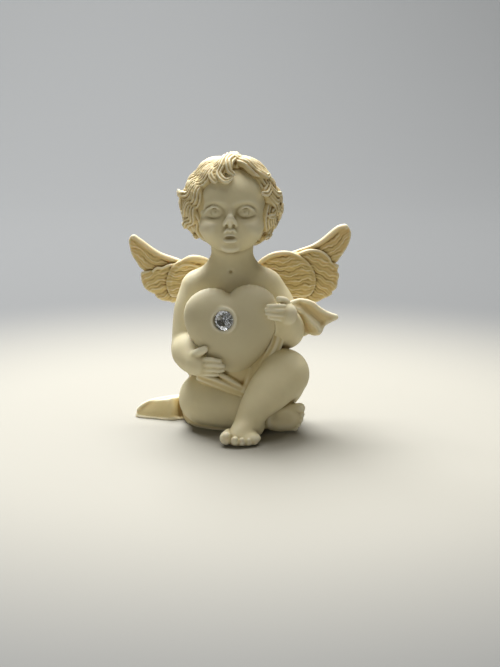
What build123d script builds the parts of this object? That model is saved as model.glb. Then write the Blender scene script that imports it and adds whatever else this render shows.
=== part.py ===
"""A seated resin cherub that holds a heart with a crystal set in it.

The figure sits on its flat base and faces -Y, with +Z up. Left and right are the figure's own, so its
left side is at +X. The origin is on the base, under the seat. All sizes are millimetres.
"""

import os
from math import atan2, cos, degrees, radians, sin

from build123d import *

# Driving dimensions
HEAD = (-1.1, 3.0, 50.6)  # middle of the skull
SKULL_RADIUS = 8.6
HEART = (-0.9, -5.6, 24.2)  # middle of the heart
HEART_TILT = 5.2  # degrees, its point leans to the figure's left
LOBE_RADIUS = 5.3
LOBE_OFFSET = 5.0  # from the heart's middle line to the middle of a lobe
LOBE_RISE = 4.3
POINT_DROP = 9.9
STONE_DIAMETER = 4.7  # a 20 stone-size chaton
STONE_OFFSET = (-1.9, 2.2)  # from the middle of the heart, in X and Z
STONE_TURN = 18.0  # degrees that the stone faces to the figure's right
STONE_RISE = 6.0  # degrees that it faces up
TENON_RADIUS = 1.5
TENON_LENGTH = 5.0
GLUE = 0.12  # thickness of each adhesive bed
CLOTH = 1.5  # thickness of the cast drapery

# Left and right of the figure, as the sign of X
LEFT, RIGHT = 1, -1


def limb(*joints):
    """Adds a chubby limb to the open part: a ball at each joint, and a tapered length between each two."""
    inset = 0.98  # keeps a taper's end rings inside its balls
    for centre, radius in joints:
        with Locations(centre):
            Sphere(radius)
    for (start, start_radius), (end, end_radius) in zip(joints, joints[1:]):
        along = Vector(*end) - Vector(*start)
        with Locations(Plane(origin=start, z_dir=along)):
            Cone(
                start_radius * inset,
                end_radius * inset,
                along.length,
                align=(Align.CENTER, Align.CENTER, Align.MIN),
            )


def egg(centre, radii, turn=(0, 0, 0)):
    """Adds an ellipsoid to the open part."""
    ball = scale(Sphere(1, mode=Mode.PRIVATE), by=radii, mode=Mode.PRIVATE)
    add(Location(centre, turn) * ball)


def finish_piece(builder, name):
    """Labels a finished piece and writes its file."""
    builder.part.label = name
    export_step(builder.part, f"parts/{name}.step")


os.makedirs("parts", exist_ok=True)

# ---- The stone, its foil and its adhesive -----------------------------------------------------

STONE_RADIUS = STONE_DIAMETER / 2
TABLE_RADIUS = STONE_RADIUS * 0.56
CROWN_HEIGHT = STONE_RADIUS * 0.36
GIRDLE_HEIGHT = STONE_RADIUS * 0.08
PAVILION_DEPTH = STONE_RADIUS * 0.72
FOIL = 0.08
stone_facing = Vector(-sin(radians(STONE_TURN)), -cos(radians(STONE_TURN)), sin(radians(STONE_RISE)))
stone_plane = Plane(
    origin=(HEART[0] + STONE_OFFSET[0], HEART[1] - LOBE_RADIUS * 0.86, HEART[2] + STONE_OFFSET[1]),
    x_dir=Vector(0, 0, 1).cross(stone_facing),
    z_dir=stone_facing,
)


def pavilion(margin):
    """The stone's eight-sided lower cone, grown by margin, down from the girdle."""
    grown = 1 + margin / STONE_RADIUS
    with BuildPart() as cone:
        with BuildSketch(stone_plane):
            RegularPolygon(STONE_RADIUS * grown, 16)
        with BuildSketch(stone_plane.offset(-PAVILION_DEPTH * grown)):
            RegularPolygon(0.18 * grown, 16)
        loft()
    return cone.part


with BuildPart() as rhinestone:
    add(pavilion(0))
    with BuildSketch(stone_plane):
        RegularPolygon(STONE_RADIUS, 16)
    extrude(amount=GIRDLE_HEIGHT)
    with BuildSketch(stone_plane.offset(GIRDLE_HEIGHT)):
        RegularPolygon(STONE_RADIUS, 16)
    with BuildSketch(stone_plane.offset(GIRDLE_HEIGHT + CROWN_HEIGHT)):
        RegularPolygon(TABLE_RADIUS, 16)
    loft()
    # Eight flat kite facets cross the crown, as on a brilliant cut.
    crown_middle = stone_plane.offset(GIRDLE_HEIGHT + CROWN_HEIGHT)
    for eighth in range(8):
        turn = radians(22.5 + 45 * eighth)
        outward = crown_middle.x_dir * cos(turn) + crown_middle.y_dir * sin(turn)
        facet_normal = crown_middle.z_dir + outward * 0.82
        facet_at = crown_middle.origin + outward * TABLE_RADIUS * 0.955
        split(bisect_by=Plane(origin=facet_at, z_dir=facet_normal), keep=Keep.BOTTOM)
finish_piece(rhinestone, "rhinestone")

with BuildPart() as rhinestone_foil:
    add(pavilion(FOIL))
    add(pavilion(0), mode=Mode.SUBTRACT)
finish_piece(rhinestone_foil, "rhinestone_foil")

with BuildPart() as rhinestone_adhesive:
    add(pavilion(FOIL + GLUE))
    add(pavilion(FOIL), mode=Mode.SUBTRACT)
finish_piece(rhinestone_adhesive, "rhinestone_adhesive")

# ---- The heart, glued between the arms ---------------------------------------------------------


def in_heart(across, along):
    """A point in the heart's middle plane: across from its middle line, and along it towards the notch."""
    tilt = radians(HEART_TILT)
    return (
        HEART[0] + across * cos(tilt) - along * sin(tilt),
        HEART[1],
        HEART[2] + across * sin(tilt) + along * cos(tilt),
    )


HEART_POINT = (in_heart(0, -POINT_DROP), 0.8)
PEG_DEPTH = 3.0
heart_peg = Location((HEART[0], HEART[1] + LOBE_RADIUS * 0.7, HEART[2]), (-90, 0, 0))
PEG_REACH = LOBE_RADIUS * 0.3 + PEG_DEPTH


def heart_shape():
    """The puffed heart, with no seat and no peg: two lobes and a filled middle, all running to the point."""
    with BuildPart() as shape:
        for side in (LEFT, RIGHT):
            lobe = (in_heart(side * LOBE_OFFSET, LOBE_RISE), LOBE_RADIUS)
            flank = (in_heart(side * LOBE_OFFSET * 0.6, -LOBE_RISE * 0.5), LOBE_RADIUS * 0.83)
            limb(lobe, flank, HEART_POINT)
        limb((in_heart(0, LOBE_RISE * 0.75), LOBE_RADIUS * 0.9), HEART_POINT)
    return shape.part


plain_heart = heart_shape()

with BuildPart() as heart:
    add(plain_heart)
    with Locations(heart_peg):
        Cylinder(TENON_RADIUS, PEG_REACH, align=(Align.CENTER, Align.CENTER, Align.MIN))
    add(pavilion(FOIL + GLUE), mode=Mode.SUBTRACT)
    with BuildSketch(stone_plane):
        RegularPolygon(STONE_RADIUS + FOIL + GLUE, 16)
    extrude(amount=LOBE_RADIUS, mode=Mode.SUBTRACT)
finish_piece(heart, "heart")

# ---- The body casting --------------------------------------------------------------------------

# Each level of the trunk: height, middle X, middle Y, half width, half depth
TRUNK = (
    (0.0, 0.2, 3.2, 9.6, 7.4),
    (6.0, 0.2, 3.2, 11.4, 8.6),
    (13.0, -0.2, 3.6, 9.8, 7.4),
    (21.0, -0.6, 4.0, 9.0, 6.2),
    (29.0, -0.9, 3.8, 9.4, 5.8),
    (34.0, -1.0, 3.6, 8.0, 5.0),
    (37.2, -1.0, 3.4, 5.4, 4.6),
    (43.0, -1.0, 2.8, 4.7, 4.7),
)
WING_ROOT_HEIGHT = 33.0
WING_ROOT_OFFSET = 4.6  # from the middle of the back
WING_ROOT_BACK = 9.0
WING_SWEEP = 16.0  # degrees that a wing leans back
WING_ROOT_RADIUS = 2.6
BACK_MIDDLE = TRUNK[4][1]


def wing_socket(side, radius, length):
    """A round bar from the wing root into the back, for the tenon and its socket."""
    root = Vector(BACK_MIDDLE + side * WING_ROOT_OFFSET, WING_ROOT_BACK, WING_ROOT_HEIGHT)
    inwards = Vector(-side * 0.45, -1, 0)
    with BuildPart() as bar:
        with Locations(Plane(origin=root, z_dir=inwards)):
            Cylinder(radius, length, align=(Align.CENTER, Align.CENTER, Align.MIN))
    return bar.part


def hand(wrist, palm, knuckles, tips, finger_radius, thumb):
    """Adds a hand to the open part: a palm, four fingers side by side and a thumb."""
    limb((wrist, 3.0), (palm, 2.7))
    for knuckle, tip in zip(knuckles, tips):
        limb((knuckle, finger_radius), (tip, finger_radius * 0.9))
    limb((thumb[0], finger_radius * 1.2), (thumb[1], finger_radius))


def toes(places):
    """Adds a row of round toes to the open part, from the big toe on."""
    for centre, radius in places:
        with Locations(centre):
            Sphere(radius)


# ---- The drapery's free parts: lap folds, the strap, and the two loose ends ---------------------

# Outline of the end that falls over the left forearm, as X and Z
ARM_END_TOP = ((11.0, 29.2), (15.4, 29.0), (18.8, 27.2), (22.4, 25.4))
ARM_END_HEM = ((20.6, 23.4), (18.6, 21.6), (14.5, 22.6), (11.0, 24.0))
ARM_END = ARM_END_TOP + ARM_END_HEM
ARM_END_Y = -0.6
# Outline of the end that lies on the ground on the right, as X and Y
GROUND_END = ((-8.0, 3.0), (-13.0, 3.0), (-17.5, 4.8), (-22.8, 7.6), (-22.6, 9.4), (-17.0, 10.6), (-8.0, 11.0))
# The rolled edge at the waist: height, half width and half depth of its ring
WAIST = (11.6, 10.6, 8.0)
WAIST_MIDDLE = (0.0, 3.5)

with BuildPart() as folds:
    with BuildSketch(Plane.XY.offset(WAIST[0] - CLOTH)):
        with Locations(WAIST_MIDDLE):
            Ellipse(WAIST[1], WAIST[2])
            Ellipse(WAIST[1] - 2 * CLOTH, WAIST[2] - 2 * CLOTH, mode=Mode.SUBTRACT)
    extrude(amount=2 * CLOTH)
    # Folds in the lap, under the heart
    limb(((-6.4, -4.6, 12.6), 2.2), ((1.6, -6.6, 9.0), 2.5))
    limb(((6.4, -5.4, 17.0), 2.3), ((2.2, -6.2, 9.6), 2.6))
    limb(((0.4, -4.2, 13.0), 3.4), ((2.0, -6.0, 10.0), 3.0))
    # The strap from the lap up to the left forearm
    limb(((6.2, -5.2, 16.6), 2.0), ((9.4, -3.6, 22.4), 1.8), ((12.4, -1.2, 25.2), 1.6))
    # The end over the forearm, with two folds in it
    with BuildSketch(Plane.XZ.offset(-ARM_END_Y)):
        with BuildLine():
            Polyline(*ARM_END, close=True)
        make_face()
    extrude(amount=CLOTH / 2, both=True)
    limb(((10.8, -1.2, 27.4), 2.1), ((14.8, -1.4, 27.8), 1.6), ((19.8, -1.0, 25.4), 1.0))
    limb(((11.4, -1.6, 25.2), 2.0), ((15.4, -1.8, 24.6), 1.5), ((18.6, -1.2, 22.6), 1.0))
    # The end on the ground, with its raised back edge
    with BuildSketch():
        with BuildLine():
            Polyline(*GROUND_END, close=True)
        make_face()
    extrude(amount=CLOTH)
    limb(((-9.0, 9.0, 3.4), 2.6), ((-16.0, 9.2, 2.4), 1.7), ((-22.2, 8.4, 1.4), 1.0))
    split(bisect_by=Plane.XY, keep=Keep.TOP)
    add(plain_heart, mode=Mode.SUBTRACT)

with BuildPart() as head:
    # Skull and face
    with Locations(HEAD):
        Sphere(SKULL_RADIUS * 0.97)
    with Locations(Plane(origin=(HEAD[0] + 0.3, HEAD[1] - 2.2, HEAD[2] - 2.6), z_dir=(0.1, 1, 0.1))):
        Sphere(7.1)
    # Cheeks, chin and nose
    for side in (LEFT, RIGHT):
        cheek = (HEAD[0] + 0.2 + side * 3.9, HEAD[1] - 4.6, HEAD[2] - 4.8)
        with Locations(Plane(origin=cheek, z_dir=(side, -1, 0.2))):
            Sphere(3.7)
    with Locations((HEAD[0], HEAD[1] - 5.6, HEAD[2] - 7.0)):
        Sphere(2.4)
    with Locations((HEAD[0], HEAD[1] - 9.0, HEAD[2] - 3.8)):
        Sphere(1.1)

with BuildPart() as body:
    # Trunk and neck
    for height, x, y, half_width, half_depth in TRUNK:
        with BuildSketch(Plane.XY.offset(height)):
            with Locations((x, y)):
                Ellipse(half_width, half_depth)
    loft()
    add(head.part)
    # Right arm: shoulder, elbow, forearm and the hand under the heart
    limb(((-8.4, 3.2, 31.2), 4.5), ((-10.2, 0.5, 18.8), 4.4), ((-9.4, -6.0, 16.2), 3.2))
    hand(
        wrist=(-9.2, -6.8, 16.0),
        palm=(-7.8, -8.6, 16.1),
        knuckles=[(-6.4, -10.2, 18.1), (-6.2, -10.3, 16.6), (-6.2, -10.0, 15.1), (-6.4, -9.3, 13.8)],
        tips=[(-3.2, -10.9, 17.9), (-2.8, -10.8, 16.2), (-3.0, -10.3, 14.6), (-4.2, -9.6, 13.4)],
        finger_radius=0.95,
        thumb=[(-9.0, -8.8, 18.2), (-6.8, -10.2, 20.2)],
    )
    # Left arm: shoulder, low elbow, forearm and the hand at the heart's side
    limb(((6.4, 3.2, 31.4), 4.5), ((11.0, -1.2, 22.9), 4.4), ((10.8, -5.6, 26.2), 3.1))
    hand(
        wrist=(10.8, -6.0, 26.4),
        palm=(10.4, -7.6, 27.6),
        knuckles=[(10.0, -9.0, 30.0), (10.2, -9.4, 28.6), (10.2, -9.4, 27.2), (10.0, -8.8, 26.0)],
        tips=[(7.0, -9.8, 30.4), (6.8, -10.0, 28.9), (7.0, -9.8, 27.6), (7.6, -9.4, 26.4)],
        finger_radius=0.9,
        thumb=[(11.0, -7.0, 29.6), (8.9, -8.0, 31.2)],
    )
    # Left leg: hip, raised knee, and the foot planted in front
    limb(((7.4, 2.2, 7.6), 7.3), ((10.6, -6.8, 13.6), 5.7), ((2.6, -13.2, 6.2), 3.3), ((3.6, -12.4, 2.6), 3.1))
    egg((1.3, -14.6, 2.2), (4.3, 3.6, 2.7), (0, 0, -15))
    toes(
        [
            ((-2.0, -16.4, 1.9), 1.8),
            ((-0.2, -17.5, 1.6), 1.4),
            ((1.5, -17.7, 1.45), 1.3),
            ((3.0, -17.1, 1.3), 1.2),
            ((4.3, -16.0, 1.1), 1.1),
        ]
    )
    # Right leg: hip, knee on the ground, shin across the front, and the foot with its sole to the front
    limb(((-5.4, 3.4, 7.4), 7.2), ((-7.4, -2.5, 6.5), 6.1), ((-0.6, -5.2, 5.2), 4.6), ((6.4, -7.2, 4.0), 3.4))
    egg((10.0, -7.0, 3.8), (4.6, 2.3, 3.6))
    toes(
        [
            ((14.0, -6.8, 5.9), 1.4),
            ((14.0, -6.9, 4.2), 1.1),
            ((13.6, -6.9, 2.9), 1.0),
            ((13.1, -6.9, 1.9), 0.9),
            ((12.5, -6.9, 1.1), 0.9),
        ]
    )
    split(bisect_by=Plane.XY, keep=Keep.TOP)
plain_body = body.part

with BuildPart() as cut_body:
    add(plain_body)
    add(folds.part, mode=Mode.SUBTRACT)
    # Seats for the glued pieces
    add(plain_heart, mode=Mode.SUBTRACT)
    with Locations(heart_peg):
        Cylinder(
            TENON_RADIUS + GLUE,
            PEG_REACH + GLUE,
            align=(Align.CENTER, Align.CENTER, Align.MIN),
            mode=Mode.SUBTRACT,
        )
    for side in (LEFT, RIGHT):
        add(wing_socket(side, TENON_RADIUS + GLUE, TENON_LENGTH + GLUE), mode=Mode.SUBTRACT)
finish_piece(cut_body, "body")

# ---- The drapery, with its wrap behind the hips ------------------------------------------------

# Levels of the wrap: height, half width, half depth
WRAP = ((0.0, 15.2, 10.0), (5.0, 15.8, 10.6), (9.0, 14.2, 9.9), (11.6, 12.2, 9.2))
WRAP_MIDDLE = (0.9, 3.6)

with BuildPart() as drape:
    for height, half_width, half_depth in WRAP:
        with BuildSketch(Plane.XY.offset(height)):
            with Locations(WRAP_MIDDLE):
                Ellipse(half_width, half_depth)
    loft()
    split(bisect_by=Plane(origin=(0, WRAP_MIDDLE[1], 0), z_dir=(0, 1, 0)), keep=Keep.TOP)
    add(plain_body, mode=Mode.SUBTRACT)
    add(folds.part)
finish_piece(drape, "drape")

# ---- Adhesive beds around the heart's peg ------------------------------------------------------

with BuildPart() as heart_adhesive:
    with Locations(heart_peg):
        Cylinder(TENON_RADIUS + GLUE, PEG_REACH + GLUE, align=(Align.CENTER, Align.CENTER, Align.MIN))
        Cylinder(TENON_RADIUS, PEG_REACH, align=(Align.CENTER, Align.CENTER, Align.MIN), mode=Mode.SUBTRACT)
    add(plain_heart, mode=Mode.SUBTRACT)
finish_piece(heart_adhesive, "heart_adhesive")

# ---- Hair: a cap with short locks that sweep from the crown ------------------------------------

HAIR_SHELL = SKULL_RADIUS + 1.3
HAIRLINE_LEAN = 0.62  # how far the hairline leans back as it rises
# Each lock runs from its root to its tip: balls with their place from the middle of the skull, and radius
LOCKS = (
    ((1.2, -4.6, 8.6, 2.4), (-0.4, -6.6, 7.2, 2.0), (-1.0, -7.7, 5.5, 1.5)),
    ((-3.0, -4.2, 8.0, 2.6), (-6.4, -3.8, 5.6, 2.4)),
    ((4.8, -3.9, 7.8, 2.5), (7.6, -3.3, 5.0, 2.4)),
    ((-8.6, -2.4, 2.6, 2.5), (-9.0, -1.2, -1.3, 2.4), (-8.6, -0.6, -4.4, 2.0)),
    ((9.0, -2.0, 2.0, 2.4), (9.0, -1.0, -1.8, 2.3), (8.3, -0.3, -4.9, 2.1), (6.9, 0.4, -7.4, 1.8)),
    ((-8.4, 2.6, 4.6, 2.6), (-9.0, 3.0, 0.4, 2.3), (-8.6, 3.2, -3.6, 2.3)),
    ((8.6, 2.4, 4.4, 2.6), (9.0, 2.9, -0.2, 2.2), (8.4, 3.4, -4.4, 2.3)),
    ((-6.4, 6.6, 3.8, 2.6), (-6.7, 7.2, -0.6, 2.6), (-5.8, 7.0, -4.8, 2.3)),
    ((6.5, 6.5, 3.7, 2.6), (6.8, 7.1, -0.8, 2.6), (5.7, 7.0, -5.0, 2.3)),
    ((-2.3, 8.4, 3.4, 2.6), (-2.2, 9.0, -1.0, 2.6), (-2.0, 8.4, -5.4, 2.3)),
    ((2.4, 8.3, 3.6, 2.6), (2.5, 9.0, -0.7, 2.6), (2.2, 8.4, -5.1, 2.3)),
    ((-5.2, 1.0, 7.8, 2.5), (-4.4, 4.8, 7.0, 2.5)),
    ((0.2, 0.3, 8.8, 2.4), (0.0, 4.9, 7.8, 2.6)),
    ((5.0, 0.8, 7.9, 2.5), (4.6, 4.9, 7.0, 2.5)),
)

with BuildPart() as hair:
    # The face opening is cut by a slanting plane, from the hairline down to behind the ears
    forwards = (0, -1, -HAIRLINE_LEAN)
    cap_middle = (HEAD[0], HEAD[1] + 0.8, HEAD[2] + 0.6)
    with Locations(Plane(origin=cap_middle, x_dir=(0, HAIRLINE_LEAN, -1), z_dir=forwards)):
        Sphere(HAIR_SHELL)
    split(bisect_by=Plane(origin=(HEAD[0], HEAD[1] - 3.2, HEAD[2] + 2.0), z_dir=forwards), keep=Keep.BOTTOM)
    for lock in LOCKS:
        for x, y, z, radius in lock:
            with Locations(Plane(origin=Vector(*HEAD) + Vector(x, y, z), z_dir=(x, y, z))):
                Sphere(radius)
    add(cut_body.part, mode=Mode.SUBTRACT)
finish_piece(hair, "hair")

# ---- Wings: three layers of feathers on each, with a tenon -------------------------------------

# Half thickness of each layer and its feathers, from the long flight feathers to the short ones over the
# root. A feather runs from its quill to its tip, each as distance outwards from the root and height, and
# has a width.
LEFT_FEATHERS = (
    (
        0.8,
        (
            ((11.5, 36.6), (21.2, 42.8), 3.0),
            ((11.0, 35.6), (21.3, 40.4), 3.0),
            ((10.0, 34.5), (20.2, 37.6), 3.2),
            ((9.0, 33.6), (19.5, 34.6), 3.4),
            ((8.0, 32.6), (19.0, 31.4), 3.4),
            ((7.0, 31.8), (16.6, 29.2), 3.4),
            ((6.0, 31.2), (13.2, 28.5), 3.4),
            ((5.0, 31.0), (10.0, 28.4), 3.4),
        ),
    ),
    (
        1.3,
        (
            ((6.5, 35.6), (13.4, 37.0), 3.3),
            ((5.5, 35.0), (16.2, 35.5), 3.4),
            ((5.0, 34.0), (16.6, 33.1), 3.4),
            ((4.5, 33.0), (15.8, 30.9), 3.4),
            ((4.0, 32.0), (12.4, 29.7), 3.4),
            ((3.5, 31.4), (8.5, 29.2), 3.4),
        ),
    ),
    (
        1.8,
        (
            ((1.8, 34.2), (6.0, 36.9), 3.6),
            ((2.2, 33.6), (9.4, 36.4), 3.6),
            ((2.2, 33.0), (11.4, 34.3), 3.6),
            ((2.0, 32.4), (10.8, 32.0), 3.6),
            ((1.8, 31.8), (8.4, 30.4), 3.6),
        ),
    ),
)
RIGHT_FEATHERS = (
    (
        0.8,
        (
            ((8.6, 34.2), (18.0, 40.2), 3.0),
            ((8.2, 33.6), (17.8, 37.9), 3.0),
            ((7.6, 33.0), (16.8, 35.6), 3.2),
            ((7.0, 32.4), (15.6, 33.4), 3.2),
            ((6.4, 31.8), (14.5, 31.3), 3.4),
            ((5.8, 31.2), (12.5, 29.5), 3.4),
            ((5.2, 30.8), (10.3, 28.6), 3.4),
        ),
    ),
    (
        1.3,
        (
            ((4.4, 33.8), (11.0, 34.4), 3.2),
            ((4.2, 33.2), (13.3, 33.2), 3.3),
            ((4.0, 32.4), (12.8, 31.4), 3.4),
            ((3.6, 31.7), (10.4, 29.9), 3.4),
            ((3.2, 31.2), (7.4, 29.2), 3.4),
        ),
    ),
    (
        1.8,
        (
            ((1.4, 34.2), (3.4, 35.9), 3.4),
            ((1.7, 33.6), (6.4, 34.7), 3.5),
            ((1.7, 33.0), (8.9, 33.1), 3.6),
            ((1.6, 32.3), (8.4, 31.2), 3.6),
            ((1.5, 31.7), (5.6, 30.2), 3.5),
        ),
    ),
)


def wing(side, layers):
    """A wing in its own upright plane, which leans back from the root."""
    outwards = Vector(side * cos(radians(WING_SWEEP)), sin(radians(WING_SWEEP)), 0)
    plane = Plane(
        origin=(BACK_MIDDLE + side * WING_ROOT_OFFSET, WING_ROOT_BACK, 0),
        x_dir=outwards,
        z_dir=outwards.cross(Vector(0, 0, 1)),
    )
    with BuildPart() as part:
        for half_thickness, feathers in layers:
            with BuildSketch(plane):
                for quill, tip, width in feathers:
                    shaft = Vector(*tip) - Vector(*quill)
                    middle = (Vector(*tip) + Vector(*quill)) * 0.5
                    with Locations(Location(middle, (0, 0, degrees(atan2(shaft.Y, shaft.X))))):
                        SlotCenterToCenter(shaft.length, width)
            extrude(amount=half_thickness, both=True)
    return part.part


for side, name, layers in ((LEFT, "left_wing", LEFT_FEATHERS), (RIGHT, "right_wing", RIGHT_FEATHERS)):
    with BuildPart() as feathered:
        add(wing(side, layers))
        root = (BACK_MIDDLE + side * WING_ROOT_OFFSET, WING_ROOT_BACK, WING_ROOT_HEIGHT)
        with Locations(Plane(origin=root, z_dir=(0.2, 1, 0.3))):
            Sphere(WING_ROOT_RADIUS)
        add(cut_body.part, mode=Mode.SUBTRACT)
        add(wing_socket(side, TENON_RADIUS, TENON_LENGTH))
    finish_piece(feathered, name)
    with BuildPart() as bed:
        add(wing_socket(side, TENON_RADIUS + GLUE, TENON_LENGTH + GLUE))
        add(wing_socket(side, TENON_RADIUS, TENON_LENGTH), mode=Mode.SUBTRACT)
        add(feathered.part, mode=Mode.SUBTRACT)
    finish_piece(bed, f"{name}_adhesive")
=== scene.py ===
"""A seated resin cherub that holds a heart with a crystal set in it: its looks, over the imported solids.

The figure's soft forms are sculpted here as clay is: rounded volumes are added to and cut from a fine grid,
and the grid's surface becomes the piece's mesh. Sculpting is in the row's own frame in millimetres, and the
meshes are in metres. Left and right are the figure's own, so its left side is at +X and it faces -Y.
"""

import copy
import math

import bpy
import numpy as np
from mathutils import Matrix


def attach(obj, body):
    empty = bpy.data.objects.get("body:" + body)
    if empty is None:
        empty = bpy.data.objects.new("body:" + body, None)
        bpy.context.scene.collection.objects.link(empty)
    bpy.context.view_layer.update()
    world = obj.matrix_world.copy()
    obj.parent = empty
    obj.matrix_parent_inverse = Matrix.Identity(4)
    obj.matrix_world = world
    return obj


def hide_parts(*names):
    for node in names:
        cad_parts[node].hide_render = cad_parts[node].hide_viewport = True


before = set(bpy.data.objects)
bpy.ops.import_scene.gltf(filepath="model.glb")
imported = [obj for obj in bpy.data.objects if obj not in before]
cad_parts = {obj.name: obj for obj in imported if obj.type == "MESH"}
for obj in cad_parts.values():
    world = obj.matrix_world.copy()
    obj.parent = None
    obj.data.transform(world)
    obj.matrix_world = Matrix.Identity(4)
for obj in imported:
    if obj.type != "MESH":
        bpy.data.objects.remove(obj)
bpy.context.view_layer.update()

LEFT, RIGHT = 1, -1
COARSE = 1.0
FAR = 4.0  # what the grid holds away from any clay, in mm
MARGIN = 2.6  # how far round a shape the grid is worked, in mm
CRUMB = 0.015  # a loose part with a smaller share of a piece's faces than this is dropped
PEG_RADIUS, SOCKET_RADIUS = 1.5, 1.62
MM = 0.001
CORNERS = [(dx, dy, dz) for dx in (0, 1) for dy in (0, 1) for dz in (0, 1)]


# ---- The clay ----------------------------------------------------------------------------------


def soft_min(a, b, blend):
    """The union of two distance fields, with a fillet of about blend."""
    if blend <= 0:
        return np.minimum(a, b)
    near = np.maximum(blend - np.abs(a - b), 0) / blend
    return np.minimum(a, b) - near * near * blend * 0.25


def turned(turn):
    """The rotation matrix of a turn in degrees about X, then Y, then Z."""
    rx, ry, rz = (math.radians(t) for t in turn)
    about_x = np.array([[1, 0, 0], [0, math.cos(rx), -math.sin(rx)], [0, math.sin(rx), math.cos(rx)]])
    about_y = np.array([[math.cos(ry), 0, math.sin(ry)], [0, 1, 0], [-math.sin(ry), 0, math.cos(ry)]])
    about_z = np.array([[math.cos(rz), -math.sin(rz), 0], [math.sin(rz), math.cos(rz), 0], [0, 0, 1]])
    return about_z @ about_y @ about_x


def egg(centre, radii, turn=(0, 0, 0)):
    """An ellipsoid."""
    c, r, m = np.array(centre, float), np.array(radii, float), turned(turn)

    def field(x, y, z):
        px, py, pz = x - c[0], y - c[1], z - c[2]
        a = px * m[0, 0] + py * m[1, 0] + pz * m[2, 0]
        b = px * m[0, 1] + py * m[1, 1] + pz * m[2, 1]
        e = px * m[0, 2] + py * m[1, 2] + pz * m[2, 2]
        near = np.sqrt((a / r[0]) ** 2 + (b / r[1]) ** 2 + (e / r[2]) ** 2)
        slope = np.sqrt((a / r[0] ** 2) ** 2 + (b / r[1] ** 2) ** 2 + (e / r[2] ** 2) ** 2)
        return near * (near - 1) / np.maximum(slope, 1e-5)

    return field, c - r.max(), c + r.max()


def ball(centre, radius):
    """A sphere."""
    c = np.array(centre, float)

    def field(x, y, z):
        return np.sqrt((x - c[0]) ** 2 + (y - c[1]) ** 2 + (z - c[2]) ** 2) - radius

    return field, c - radius, c + radius


def curve(points, per_span=4):
    """Points along a smooth curve through the given rows, each a place and whatever values go with it."""
    p = np.array(points, float)
    if len(p) < 3:
        return p
    p = np.vstack([2 * p[0] - p[1], p, 2 * p[-1] - p[-2]])
    out = []
    for a, b, c, d in zip(p, p[1:], p[2:], p[3:]):
        for step in range(per_span):
            t = step / per_span
            place = 2 * b + (c - a) * t + (2 * a - 5 * b + 4 * c - d) * t * t
            out.append(0.5 * (place + (3 * b - a - 3 * c + d) * t**3))
    out.append(p[-2])
    return np.array(out)


def swept(rows, distance, reach):
    """A shape along rows of places: the nearest of its distances from each stretch between two rows."""

    def field(x, y, z):
        out = np.inf
        for a, b in zip(rows, rows[1:]):
            out = np.minimum(out, distance(a, b, x - a[0], y - a[1], z - a[2]))
        return out

    return field, rows[:, :3].min(0) - reach, rows[:, :3].max(0) + reach


def tube(*points, per_span=6):
    """A round tube along a smooth curve. Each point is x, y, z and radius."""
    rows = curve(points, per_span)

    def distance(a, b, px, py, pz):
        way = b[:3] - a[:3]
        length = max(float(way @ way), 1e-9)
        t = np.clip((px * way[0] + py * way[1] + pz * way[2]) / length, 0, 1)
        d = np.sqrt((px - way[0] * t) ** 2 + (py - way[1] * t) ** 2 + (pz - way[2] * t) ** 2)
        return d - (a[3] + (b[3] - a[3]) * t)

    return swept(rows, distance, rows[:, 3].max())


def strand(points, middle, groove, pitch, per_span=4):
    """A flattened, grooved lock or fold along a smooth curve, lying on the form round middle.

    Each point is x, y, z, half width and half thickness.
    """
    rows = curve(points, per_span)
    centre = np.array(middle, float)

    def distance(a, b, px, py, pz):
        way = b[:3] - a[:3]
        length = math.sqrt(max(float(way @ way), 1e-9))
        way = way / length
        up = (a[:3] + b[:3]) / 2 - centre
        up = up - way * float(up @ way)
        up = up / max(np.linalg.norm(up), 1e-6)
        side = np.cross(way, up)
        along = px * way[0] + py * way[1] + pz * way[2]
        share = np.clip(along / length, 0, 1)
        beyond = along - share * length
        across = px * side[0] + py * side[1] + pz * side[2]
        height = px * up[0] + py * up[1] + pz * up[2]
        wide = a[3] + (b[3] - a[3]) * share
        thick = a[4] + (b[4] - a[4]) * share
        d = np.sqrt((across / wide) ** 2 + (height / thick) ** 2 + (beyond / thick) ** 2)
        d = (d - 1) * np.minimum(wide, thick)
        return d + groove * np.cos(across * (2 * math.pi / pitch)) * np.clip(height / thick + 0.6, 0, 1)

    return swept(rows, distance, rows[:, 3:].max())


def path_distance(rows, a, b):
    """How far each place (a, b) is from an open path."""
    best = np.full(np.broadcast(a, b).shape, 1e9)
    for p, q in zip(rows, rows[1:]):
        way = q - p
        t = np.clip(((a - p[0]) * way[0] + (b - p[1]) * way[1]) / max(way @ way, 1e-9), 0, 1)
        best = np.minimum(best, (a - p[0] - way[0] * t) ** 2 + (b - p[1] - way[1] * t) ** 2)
    return np.sqrt(best)


def outline_distance(rows, a, b):
    """How far each place (a, b) is from a closed outline, negative inside."""
    rows = np.vstack([rows, rows[:1]])
    inside = np.zeros(np.broadcast(a, b).shape, bool)
    for p, q in zip(rows, rows[1:]):
        if p[1] != q[1]:
            crosses = (p[1] > b) != (q[1] > b)
            inside ^= crosses & (a < p[0] + (b - p[1]) * (q[0] - p[0]) / (q[1] - p[1]))
    return np.where(inside, -1, 1) * path_distance(rows, a, b)


def closed_curve(points, per_span=5):
    """A closed outline through the points, smooth but for its straight last span."""
    p = np.array(points, float)
    return curve(np.vstack([p[-2:], p, p[:2]]), per_span)[2 * per_span : -2 * per_span]


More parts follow.
